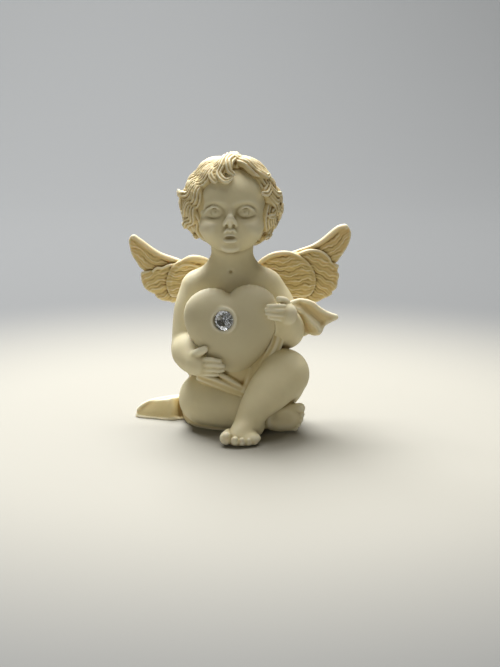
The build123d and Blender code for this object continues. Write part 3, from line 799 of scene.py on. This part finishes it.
def wing_place(side):
    """Maps a wing's own millimetres to the row's: it leans back from the root, and bows forwards."""
    sweep = math.radians(16)
    bend = 0.006  # how much the wing bows, per mm, with the square of the distance
    outwards = np.array((side * math.cos(sweep), math.sin(sweep), 0.0))
    back = np.array((-side * math.sin(sweep), math.cos(sweep), 0.0))

    def place(places):
        bow = places[:, 1] - bend * places[:, 0] ** 2
        out = wing_root(side) + outwards * places[:, :1] + back * bow[:, None]
        out[:, 2] = places[:, 2]
        return out, side == RIGHT

    return place


HAIR_MIDDLE = np.array((-1.1, 3.8, 51.0))
HAIR_RADII = np.array((8.5, 9.2, 8.8))


def on_head(azimuth, elevation, lift):
    """A place over the skull. Azimuth is from the front towards the figure's left, in degrees."""
    a, e = math.radians(azimuth), math.radians(elevation)
    way = np.array((math.sin(a) * math.cos(e), -math.cos(a) * math.cos(e), math.sin(e)))
    return HAIR_MIDDLE + way * (1 / np.linalg.norm(way / HAIR_RADII) + lift)


def lock(*rows):
    """A waved lock of hair. Each row is azimuth, elevation, lift, half width and half thickness."""
    points = curve([tuple(on_head(*row[:3])) + tuple(row[3:]) for row in rows], 6)
    places = points[:, :3].copy()
    way = np.gradient(places, axis=0)
    out = places - HAIR_MIDDLE
    out = out / np.linalg.norm(out, axis=1)[:, None]
    across = np.cross(way, out)
    across = across / np.maximum(np.linalg.norm(across, axis=1), 1e-6)[:, None]
    # The wave depends on the place, so that neighbouring locks wave together
    phase = 1.25 * places[:, 2] + 0.55 * places[:, 0] - 0.35 * places[:, 1]
    points[:, :3] += 0.42 * np.sin(phase)[:, None] * across + 0.24 * np.cos(phase)[:, None] * out
    return strand([tuple(p) for p in points], HAIR_MIDDLE, groove=0.15, pitch=0.8, per_span=1)


# Locks that frame the face on the figure's right, from the temple down
RIGHT_LOCKS = (
    (
        (-4, 76, 1.0, 1.8, 0.9), (-26, 64, 1.3, 1.9, 1.0), (-46, 48, 1.0, 1.8, 1.0),
        (-62, 34, 0.8, 1.6, 1.0), (-74, 22, 1.6, 0.7, 0.6),
    ),
    (
        (-8, 64, 1.2, 1.6, 1.0), (-28, 50, 1.4, 1.8, 1.0), (-48, 34, 0.8, 1.7, 1.0),
        (-66, 18, 1.2, 1.5, 0.9), (-80, 8, 2.8, 1.0, 0.8), (-84, 12, 3.9, 0.4, 0.4),
    ),
    (
        (-44, 36, 0.5, 1.4, 0.9), (-54, 18, 0.7, 1.6, 1.0), (-66, 0, 1.2, 1.5, 1.0),
        (-80, -10, 2.4, 1.0, 0.8), (-87, -6, 3.0, 0.4, 0.4),
    ),
    (
        (-50, 22, 0.4, 1.4, 0.8), (-56, 4, 0.6, 1.5, 0.9), (-64, -14, 1.2, 1.5, 1.0),
        (-80, -26, 2.6, 1.1, 0.8), (-89, -24, 3.0, 0.4, 0.4),
    ),
    (
        (-58, 4, 0.4, 1.3, 0.8), (-60, -14, 0.5, 1.4, 0.9), (-64, -30, 1.0, 1.2, 0.8),
        (-68, -44, 1.2, 0.9, 0.7), (-66, -55, 1.6, 0.4, 0.4),
    ),
    (
        (-82, 24, 1.2, 1.9, 1.1), (-88, 6, 1.8, 1.9, 1.2), (-94, -12, 2.0, 1.8, 1.2),
        (-98, -30, 2.2, 1.3, 0.9), (-94, -42, 2.2, 0.5, 0.5),
    ),
)
# On its left the first locks sweep down over the temple, and the curls below turn outwards
LEFT_LOCKS = (
    (
        (2, 82, 1.0, 1.8, 0.9), (14, 79, 1.7, 1.8, 0.9), (30, 71, 1.0, 1.9, 1.0), (45, 60, 1.6, 1.8, 1.1),
        (58, 44, 1.0, 1.6, 1.0), (72, 27, 1.8, 1.0, 0.8), (80, 21, 2.4, 0.4, 0.4),
    ),
    (
        (10, 76, 1.3, 1.1, 0.9), (18, 70, 1.9, 1.4, 1.0), (27, 64, 1.7, 1.5, 1.0), (36, 56, 2.3, 1.4, 1.1),
        (44, 47, 1.4, 1.4, 1.0), (51, 39, 1.7, 1.0, 0.9), (61, 33, 1.8, 0.7, 0.7), (67, 36, 2.6, 0.3, 0.3),
    ),
    (
        (34, 60, 0.9, 1.4, 0.9), (48, 46, 0.9, 1.7, 1.1), (60, 28, 1.0, 1.7, 1.1), (72, 14, 1.9, 1.2, 0.9),
        (83, 12, 3.1, 0.4, 0.4),
    ),
    (
        (44, 48, 0.7, 1.0, 0.8), (54, 32, 0.7, 1.3, 0.9), (61, 14, 0.9, 1.2, 0.9), (69, 2, 1.7, 0.8, 0.7),
        (76, 4, 2.4, 0.3, 0.3),
    ),
    (
        (56, 26, 0.8, 1.5, 0.9), (66, 8, 1.0, 1.6, 1.0), (74, -6, 1.8, 1.5, 1.0), (84, -10, 2.9, 0.9, 0.8),
        (90, -4, 3.2, 0.4, 0.4),
    ),
    (
        (62, 8, 0.6, 1.4, 0.9), (68, -10, 0.8, 1.5, 1.0), (74, -24, 1.4, 1.4, 0.9),
        (84, -30, 2.4, 1.0, 0.8), (90, -25, 2.8, 0.4, 0.4),
    ),
    (
        (68, -6, 0.6, 1.3, 0.9), (71, -24, 0.8, 1.4, 0.9), (74, -40, 1.1, 1.3, 0.9),
        (76, -52, 1.8, 0.9, 0.8), (70, -58, 2.4, 0.4, 0.4),
    ),
    (
        (84, 22, 1.2, 1.9, 1.1), (90, 4, 1.8, 1.9, 1.2), (96, -14, 2.0, 1.8, 1.2), (98, -32, 2.2, 1.3, 0.9),
        (92, -44, 2.4, 0.5, 0.5),
    ),
)
# Curls of the forelock, which hook down to the forehead
FORELOCK = (
    (
        (8, 78, 1.3, 1.2, 0.9), (-6, 66, 2.1, 1.4, 1.0), (-16, 54, 2.2, 1.3, 1.0), (-18, 42, 1.8, 1.1, 0.9),
        (-8, 33, 1.8, 0.8, 0.7), (2, 34, 2.0, 0.3, 0.3),
    ),
    (
        (14, 76, 1.3, 1.0, 0.9), (2, 64, 2.1, 1.2, 0.9), (-6, 54, 2.5, 1.1, 0.9), (-6, 44, 2.2, 0.9, 0.7),
        (2, 38, 2.0, 0.4, 0.4),
    ),
    (
        (-8, 72, 1.4, 1.3, 0.9), (-22, 60, 1.9, 1.4, 1.0), (-30, 46, 1.5, 1.2, 0.9),
        (-28, 36, 1.1, 0.8, 0.7), (-20, 31, 1.2, 0.3, 0.3),
    ),
)


def sculpt_hair():
    """The hair: a cap round the skull, covered in wavy locks, and hollow where the head is."""
    clay = Clay((-15.0, -9.0, 37.5), (13.0, 18.5, 64.0), 0.2 * COARSE)
    clay.add(egg(HAIR_MIDDLE + (-0.2, 0.2, 0), HAIR_RADII + 0.7))
    # The cap opens at the front, from the hairline down to the neck
    clay.cut(egg((-0.9, -8.6, 47.2), (7.4, 9.2, 10.6)), 0.5)
    clay.cut(egg((-0.9, 0.0, 38.0), (7.0, 9.0, 7.0)), 0.5)
    # Rows of locks fall from the crown, each over the row below it, and end in small flicks
    for row, (top, fall, count, flick) in enumerate(
        ((4, 48, 11, 1.6), (34, 46, 11, 1.2), (62, 46, 10, 0.5), (84, 46, 8, 0.2))
    ):
        for step in range(count):
            azimuth = 70 + (step + 0.5 * (row % 2)) * 226 / count
            sway = math.sin(step * 2.3 + row * 1.7)
            bend = 9 * (1 if (step + row) % 3 else -1)
            reach = fall * (1 + 0.12 * math.sin(step * 3.1 + row))
            clay.add(
                lock(
                    (azimuth, top, 0.4, 1.6, 0.6),
                    (azimuth + bend * 0.6, top - reach * 0.3, 1.0, 2.5 + 0.2 * sway, 0.9),
                    (azimuth + bend * 0.2, top - reach * 0.6, 1.2, 2.4 + 0.2 * sway, 1.0),
                    (azimuth - bend * 0.8, top - reach * 0.84, 1.2 + flick * 0.3, 1.8, 0.9),
                    (azimuth - bend * 1.9, top - reach * 0.98, 1.2 + flick * 0.7, 1.0, 0.7),
                    (azimuth - bend * 3.0, top - reach * 0.95, 1.3 + flick, 0.4, 0.4),
                ),
                0.22,
            )
    for step in range(10):
        azimuth = -66 + step * 15
        clay.add(
            lock(
                (azimuth * 0.4 + 180, 84, 0.6, 1.2, 0.7), (azimuth * 0.7, 84, 0.8, 1.5, 0.8),
                (azimuth + 3, 72, 1.0, 1.7, 0.9), (azimuth - 2, 60, 1.0, 1.2, 0.8),
            ),
            0.15,
        )
    for rows in RIGHT_LOCKS + LEFT_LOCKS + FORELOCK:
        clay.add(lock(*rows), 0.12)
    hollow = clay.blank()
    skull(hollow, 0.5)
    hollow.roll(1.0, (-0.9, 3.0, 36.0, 4.0), (-0.9, 2.8, 44.0, 4.4))
    clay.field = np.maximum(clay.field, -hollow.field)
    return clay


ARM_END_TOP = (
    (11.5, 28.5), (13.3, 28.9), (14.9, 29.05), (17.1, 28.5), (18.6, 27.3), (20.6, 26.1), (22.6, 25.4),
)
ARM_END_LOW = (
    (22.6, 25.1), (20.8, 24.1), (19.7, 23.2), (18.7, 21.8), (17.6, 21.4), (16.6, 21.6), (15.4, 21.2),
)
ARM_END_RIDGE = ((11.8, 28.2), (13.8, 27.6), (15.1, 26.5), (16.7, 25.0), (18.3, 23.4), (18.9, 22.2))
ARM_END_VALLEYS = (((14.2, 28.0), (16.4, 26.3), (19.3, 23.9)), ((14.8, 25.7), (15.7, 23.5), (16.4, 21.9)))


def arm_end_surface(x, z):
    """How far back the cloth over the left forearm lies, with its ridge and its two valleys."""
    back = -0.9 - 1.6 * np.exp(-((path_distance(curve(ARM_END_RIDGE), x, z) / 0.95) ** 2))
    for valley in ARM_END_VALLEYS:
        back = back + 0.9 * np.exp(-((path_distance(curve(valley), x, z) / 1.0) ** 2))
    return back


GROUND_END = (
    (-8.0, 3.2), (-11.5, 3.9), (-13.6, 3.5), (-15.9, 3.1), (-19.2, 4.2), (-22.6, 5.4), (-23.8, 6.5),
    (-23.5, 7.4), (-21.5, 7.9), (-16.0, 8.2), (-8.0, 8.8),
)


def ground_end_height(x, y):
    """The top of the cloth's end on the ground: a leaf that rises to its back edge, with a soft crease."""
    front = 3.8 + 0.04 * np.clip(-x - 14.0, 0, 20) ** 1.85
    front = front + 0.7 * np.exp(-(((x + 13.2) / 0.9) ** 2)) - 0.5 * np.exp(-(((x + 15.8) / 1.2) ** 2))
    share = np.clip((y - front) / 1.6, 0, 1)
    tall = 2.75 * np.clip(x + 23.9, 0.05, 11.0) ** 0.25
    crease = 0.55 * np.exp(-(((x + 15.6) - (8.0 - y) * 0.25) ** 2) / 0.9) * np.clip(1.4 - share, 0, 1)
    return np.maximum(0.6 + (tall - 0.6) * share**0.75 + crease, 0.5)


def sculpt_drape():
    """The cast drapery: the wrap behind the hips, the lap folds, the strap and the two loose ends."""
    clay = Clay((-25.5, -12.5, -0.9), (24.5, 15.5, 31.5), 0.22 * COARSE)
    # The wrap behind the hips, with folds that sweep round and down from the waist
    clay.add(egg((0.3, 3.6, 3.2), (13.0, 10.3, 9.2)))
    for step in range(9):
        sway = math.sin(step * 2.1)
        rows = []
        for share, thick in ((0.0, 0.7), (0.2, 1.0), (0.45, 1.25), (0.7, 1.2), (0.9, 1.0), (1.0, 0.8)):
            turn = math.radians(-14 + step * 17 + (46 + 8 * sway) * share**0.8)
            out = 1.0 + 0.22 * math.sin(math.pi / 2 * min(share * 1.5, 1.0))
            x, y = 0.3 + 10.3 * out * math.cos(turn), 3.6 + 7.9 * out * 1.04 * math.sin(turn)
            rows.append((x, y, 11.6 * (1 - share**1.25), thick + 0.15 * sway))
        clay.roll(1.0, *rows)
    # The rolled edge at the waist
    around = []
    for step in range(25):
        turn = math.radians(-40 + step * 260 / 24)
        wave = 0.35 * math.sin(step * 1.9)
        around.append(
            (10.3 * math.cos(turn), 3.5 + 7.7 * math.sin(turn), 11.8 + wave, 1.25 + 0.2 * wave)
        )
    clay.roll(0.7, *around, per_span=2)
    groove = [(x * 1.12, 3.5 + (y - 3.5) * 1.14, z - 0.9, 0.3) for x, y, z, _ in around]
    clay.cut(tube(*groove, per_span=2), 0.8)
    # The lap: cloth between the thighs, with pleats that run together in its middle
    clay.roll(0.8, (-6.6, -4.0, 11.6, 2.4), (-1.0, -5.6, 9.6, 2.4), (2.0, -5.8, 8.6, 2.2))
    clay.roll(0.8, (6.4, -4.4, 17.0, 2.3), (4.6, -5.6, 13.0, 2.6), (2.2, -6.0, 9.4, 2.2))
    clay.add(egg((0.6, -3.4, 11.6), (4.6, 3.6, 3.4)), 0.8)
    clay.add(egg((1.6, -5.4, 12.6), (4.4, 2.4, 3.4), (0, 20, 0)), 0.8)
    for start, bend, end in (
        ((-8.8, -6.2, 13.6), (-3.8, -7.4, 11.9), (1.2, -8.3, 9.9)),
        ((-8.6, -6.0, 12.4), (-3.8, -7.2, 10.8), (1.0, -8.0, 9.0)),
        ((-4.4, -6.8, 13.8), (-1.2, -7.7, 12.2), (1.8, -8.3, 10.4)),
        ((3.2, -6.8, 14.6), (2.6, -7.8, 12.4), (1.6, -8.3, 10.0)),
    ):
        clay.roll(0.5, start + (0.55,), bend + (0.6,), end + (0.45,))
    # The strap, in narrow twisted pleats, from the forearm down to the lap
    for shift, depth, thick in ((-0.75, 0.3, 0.62), (0.25, -0.2, 0.66), (1.2, 0.1, 0.62)):
        clay.roll(
            0.3, (10.0 + shift * 0.5, -4.2 + depth, 25.4, thick),
            (9.5 + shift * 0.7, -5.4 + depth, 22.6, thick), (8.5 + shift * 0.9, -6.4 + depth, 19.6, thick),
            (6.5 + shift, -7.2 + depth, 16.2, thick), (4.0 + shift * 0.8, -7.9 + depth, 12.6, thick),
            (1.8, -8.1, 9.8, thick * 0.8),
        )
    # The end over the forearm
    arm_end_rows = closed_curve(ARM_END_TOP + ARM_END_LOW + ((13.0, 21.6), (11.0, 24.0)))

    def arm_end(x, y, z):
        flat = outline_distance(arm_end_rows, x + 0 * z, z + 0 * x)
        off = (np.abs(y - arm_end_surface(x, z)) - 0.5) * 0.8
        return -soft_min(-flat, -off, 0.6)

    clay.add((arm_end, np.array((10.5, -4.5, 20.0)), np.array((23.5, 2.5, 30.5))), 0.3)
    for path, thick in ((ARM_END_TOP, 0.58), (ARM_END_LOW, 0.4)):
        rows = [(x, float(arm_end_surface(np.array(x), np.array(z))), z, thick) for x, z in curve(path)]
        clay.roll(0.4, *rows, per_span=1)
    # The end on the ground
    ground_rows = closed_curve(GROUND_END)

    def ground(x, y, z):
        flat = outline_distance(ground_rows, x + 0 * y, y + 0 * x)
        top = (z - ground_end_height(x, y)) * 0.85
        return -soft_min(-flat, -top, 0.9)

    clay.add((ground, np.array((-24.0, 1.0, 0.0)), np.array((-7.0, 11.5, 6.0))), 0.4)
    edge = [
        (x, 7.0, float(ground_end_height(np.array(x), np.array(7.0))) - 0.2, 0.5)
        for x in (-23, -22, -20, -17, -14, -11, -8)
    ]
    clay.roll(0.4, *edge)
    clay.level()
    return clay


# ---- Materials ---------------------------------------------------------------------------------


class Look:
    """A new material, with helpers that add its nodes and link them."""

    def __init__(self, name):
        self.material = bpy.data.materials.new(name)
        self.material.use_nodes = True
        self.tree = self.material.node_tree
        self.where = self.node("TexCoord", {}).outputs["Object"]

    def fill(self, node, inputs):
        """Sets a node's inputs. A value may be another node's output."""
        for key, value in inputs.items():
            if isinstance(value, bpy.types.NodeSocket):
                self.tree.links.new(value, node.inputs[key])
            else:
                node.inputs[key].default_value = value

    def node(self, kind, inputs, **settings):
        """A new node."""
        made = self.tree.nodes.new("ShaderNode" + kind)
        for key, value in settings.items():
            setattr(made, key, value)
        self.fill(made, inputs)
        return made

    def noise(self, scale, **inputs):
        """Noise over the piece's own places."""
        return self.node("TexNoise", {"Vector": self.where, "Scale": scale, **inputs}).outputs["Fac"]

    def combined(self, operation, one, two, clamp=False):
        """A sum or a product."""
        return self.node("Math", {0: one, 1: two}, operation=operation, use_clamp=clamp).outputs[0]

    def ranged(self, value, start, end, low, high, smooth=False):
        """Maps start to low and end to high, and holds it outside them."""
        kind = "SMOOTHSTEP" if smooth else "LINEAR"
        inputs = {"Value": value, 1: start, 2: end, 3: low, 4: high}
        return self.node("MapRange", inputs, interpolation_type=kind).outputs[0]

    def mixed(self, share, one, two):
        """A mix of two colours. Each is three values, or another node's output."""
        one, two = (c + (1,) if isinstance(c, tuple) else c for c in (one, two))
        return self.node("Mix", {0: share, 6: one, 7: two}, data_type="RGBA").outputs[2]

    def bump(self, height, strength, distance, **inputs):
        """A bumped normal. The distance is in metres."""
        inputs = {"Height": height, "Strength": strength, "Distance": distance, **inputs}
        return self.node("Bump", inputs).outputs["Normal"]

    def done(self, colour, roughness, **inputs):
        """Sets the shader, and gives the material. Spaces in an input's name are written as _."""
        inputs = {key.replace("_", " "): value for key, value in inputs.items()}
        shader = self.tree.nodes["Principled BSDF"]
        self.fill(shader, {"Base Color": colour, "Roughness": roughness, **inputs})
        return self.material


def resin(name, light, stain, stained):
    """Cast resin: stained by a wiped-off wash in its recesses, and lighter on its convex edges, partly from
    the wiped wash and partly as a painted highlight for the rim light.
    """
    look = Look(name)
    fine = look.node("Attribute", {}, attribute_name="fine").outputs["Fac"]
    broad = look.node("Attribute", {}, attribute_name="broad").outputs["Fac"]
    cloud = look.noise(260.0, Detail=3.0, Roughness=0.55)
    speck = look.noise(2600.0, Detail=4.0, Roughness=0.6)
    in_fine = look.ranged(fine, 0.5, 0.66, 0.0, 1.0, True)
    in_broad = look.ranged(broad, 0.5, 0.78, 0.0, 1.0, True)
    patchy = look.ranged(cloud, 0.3, 0.7, 0.55, 1.15)
    wash = look.combined("MULTIPLY", look.combined("ADD", in_fine, in_broad), patchy)
    amount = look.combined("MULTIPLY", wash, stained, clamp=True)
    # Lighter convex edges: partly the wiped-off wash, partly a painted highlight standing for the rim light
    edge_wash_and_highlight = look.ranged(fine, 0.49, 0.38, 0.0, 0.9, True)
    tint = look.ranged(cloud, 0.35, 0.65, 0.0, 0.16)
    warm = tuple(0.55 * a + 0.45 * b for a, b in zip(light, stain))
    # The edge colour, pushed towards cream: partly the wiped resin, partly painted highlight
    edge_wash_and_highlight_colour = tuple(0.35 * a + 0.65 * b for a, b in zip(light, (0.94, 0.89, 0.72)))
    colour = look.mixed(amount, look.mixed(edge_wash_and_highlight, look.mixed(tint, light, warm), edge_wash_and_highlight_colour), stain)
    speckled = look.bump(speck, 0.35, 0.00006)
    return look.done(
        colour, look.ranged(speck, 0.3, 0.7, 0.53, 0.69),
        Normal=look.bump(cloud, 0.3, 0.0002, Normal=speckled), Specular_IOR_Level=0.42,
        Subsurface_Weight=0.12, Subsurface_Radius=(0.0018, 0.0013, 0.0008), Subsurface_Scale=1.0,
    )


def crystal():
    """Clear cut glass with faint dust on it."""
    look = Look("crystal")
    dust = look.noise(900.0, Detail=3.0)
    tint = look.mixed(dust, (0.98, 0.99, 1.0), (0.93, 0.95, 0.98))
    return look.done(tint, look.ranged(dust, 0.5, 0.8, 0.0, 0.02), Transmission_Weight=1.0, IOR=1.56)


def foil():
    """Bright, slightly crazed metal foil."""
    look = Look("foil")
    cloud = look.noise(900.0, Detail=3.0)
    colour = look.mixed(cloud, (0.82, 0.84, 0.86), (0.95, 0.96, 0.97))
    return look.done(colour, look.ranged(cloud, 0.35, 0.7, 0.03, 0.1), Metallic=1.0)


def glue():
    """Cured adhesive, with small bubbles."""
    look = Look("adhesive")
    bubble = look.node("TexVoronoi", {"Vector": look.where, "Scale": 3000.0}).outputs["Distance"]
    spot = look.ranged(bubble, 0.1, 0.4, 0.0, 1.0)
    colour = look.mixed(spot, (0.86, 0.83, 0.72), (0.66, 0.58, 0.38))
    return look.done(colour, 0.3, Normal=look.bump(spot, 0.3, 0.0001), Subsurface_Weight=0.2)


def repaint(node, material):
    """Gives a carried-over CAD node its material."""
    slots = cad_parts[node].data.materials
    if len(slots) == 0:
        slots.append(material)
    for index in range(len(slots)):
        slots[index] = material


# ---- The pieces --------------------------------------------------------------------------------

IVORY, TAN = (0.80, 0.715, 0.46), (0.32, 0.20, 0.06)
skin = resin("skin_resin", IVORY, (0.34, 0.25, 0.10), 0.8)
heart_resin = resin("heart_resin", (0.69, 0.62, 0.41), (0.38, 0.29, 0.13), 0.6)
cloth_resin = resin("drapery_resin", (0.74, 0.62, 0.335), (0.34, 0.22, 0.07), 1.0)
hair_resin = resin("hair_resin", (0.74, 0.60, 0.30), TAN, 1.15)
feather_resin = resin("feather_resin", (0.74, 0.585, 0.26), TAN, 1.15)

form = heart_form()
body_clay = sculpt_body()
body_clay.cut(form)
body_clay.cut(tube(HEART_PEG + (SOCKET_RADIUS,), HEART_PEG_END + (SOCKET_RADIUS,)))
for side in (LEFT, RIGHT):
    inwards = np.array((-side * 0.45, -1.0, 0.0))
    socket_end = wing_root(side) + inwards / np.linalg.norm(inwards) * 3.6
    body_clay.cut(tube((*wing_root(side), SOCKET_RADIUS), (*socket_end, SOCKET_RADIUS)))
piece("figure", body_clay, ["body"], skin)
piece("puffed_heart", sculpt_heart(form), ["heart"], heart_resin)
piece("drapery", sculpt_drape(), ["drape"], cloth_resin)
piece("hair_locks", sculpt_hair(), ["hair"], hair_resin, crease=(0.3, 0.9))
left_clay = sculpt_wing(LEFT_VANES, LEFT_LEADING, LEFT_WING_EDGES, LEFT_TIPS, (24.5, 3.2, 46.5))
right_clay = sculpt_wing(RIGHT_VANES, RIGHT_LEADING, RIGHT_WING_EDGES, RIGHT_TIPS, (21.0, 3.2, 44.0))
for side, name, node, wing_clay in (
    (LEFT, "wing_left", "left_wing", left_clay), (RIGHT, "wing_right", "right_wing", right_clay),
):
    piece(name, wing_clay, [node], feather_resin, wing_place(side), (0.25, 0.8))

repaint("rhinestone", crystal())
repaint("rhinestone_foil", foil())
adhesive = glue()
for node in ("rhinestone_adhesive", "heart_adhesive", "left_wing_adhesive", "right_wing_adhesive"):
    repaint(node, adhesive)

# ---- The stage, the lights and the camera ------------------------------------------------------


def paper_with_painted_falloff():
    """Plain paper with a painted pool of light: lighter round the figure and greyer far from it, painted
    shade for the lamps' falloff.
    """
    look = Look("paper_with_painted_falloff")
    far = look.node("VectorMath", {0: look.where}, operation="LENGTH").outputs["Value"]
    # Painted pool of light: the colour goes from lighter near the figure to darker far from it, standing for
    # the lamps' falloff
    share = look.ranged(far, 0.055, 0.17, 0.0, 1.0, True)
    return look.done(look.mixed(share, (0.31, 0.296, 0.252), (0.113, 0.116, 0.115)), 0.8)


# The floor sweeps up into a backdrop behind the figure
sweep = [(-1.2, 0.0), (0.4, 0.0)]
for step in range(1, 17):
    turn = math.radians(90 * step / 16)
    sweep.append((0.4 + 0.4 * math.sin(turn), 0.4 - 0.4 * math.cos(turn)))
sweep.append((0.8, 1.6))
floor_places = [(x, y, z) for y, z in sweep for x in (-2.0, 2.0)]
floor_faces = [(2 * i, 2 * i + 1, 2 * i + 3, 2 * i + 2) for i in range(len(sweep) - 1)]
floor_mesh = bpy.data.meshes.new("floor")
floor_mesh.from_pydata(floor_places, [], floor_faces)
floor_mesh.polygons.foreach_set("use_smooth", [True] * len(floor_faces))
floor = bpy.data.objects.new("floor", floor_mesh)
bpy.context.scene.collection.objects.link(floor)
floor_mesh.materials.append(paper_with_painted_falloff())


def area_light(name, place, target, size, power, colour):
    """A soft square light that faces a target. Places are in millimetres."""
    light = bpy.data.lights.new(name, "AREA")
    light.shape = "SQUARE"
    light.size = size
    light.energy = power
    light.color = colour
    lamp = bpy.data.objects.new(name, light)
    bpy.context.scene.collection.objects.link(lamp)
    way = np.array(target, float) - np.array(place, float)
    lamp.location = [v * MM for v in place]
    pitch = math.atan2(math.hypot(way[0], way[1]), -way[2])
    lamp.rotation_euler = (pitch, 0, math.atan2(-way[0], way[1]))


area_light("window", (-170, 500, 800), (0, 0, 20), 0.6, 24.0, (0.97, 0.98, 1.0))
area_light("ceiling", (60, 130, 720), (0, 0, 25), 0.5, 3.4, (1.0, 0.98, 0.94))
area_light("front", (-150, -1000, 300), (0, 0, 30), 0.45, 1.05, (1.0, 0.98, 0.94))

world = bpy.data.worlds.new("studio")
bpy.context.scene.world = world
world.use_nodes = True
backdrop = world.node_tree.nodes["Background"]
backdrop.inputs["Color"].default_value = (0.46, 0.43, 0.35, 1)
backdrop.inputs["Strength"].default_value = 0.14
bpy.context.scene.view_settings.view_transform = "Standard"

# The camera stands in front of the figure and looks a little down at it
camera_data = bpy.data.cameras.new("camera")
camera_data.lens = 76.4
camera_data.sensor_width = 36
camera_data.clip_start = 0.01
camera = bpy.data.objects.new("camera", camera_data)
bpy.context.scene.collection.objects.link(camera)
camera.location = (0, -0.31622, 0.0871)
camera.rotation_euler = (math.radians(90 - 11.743), 0, math.radians(-0.566))
bpy.context.scene.camera = camera
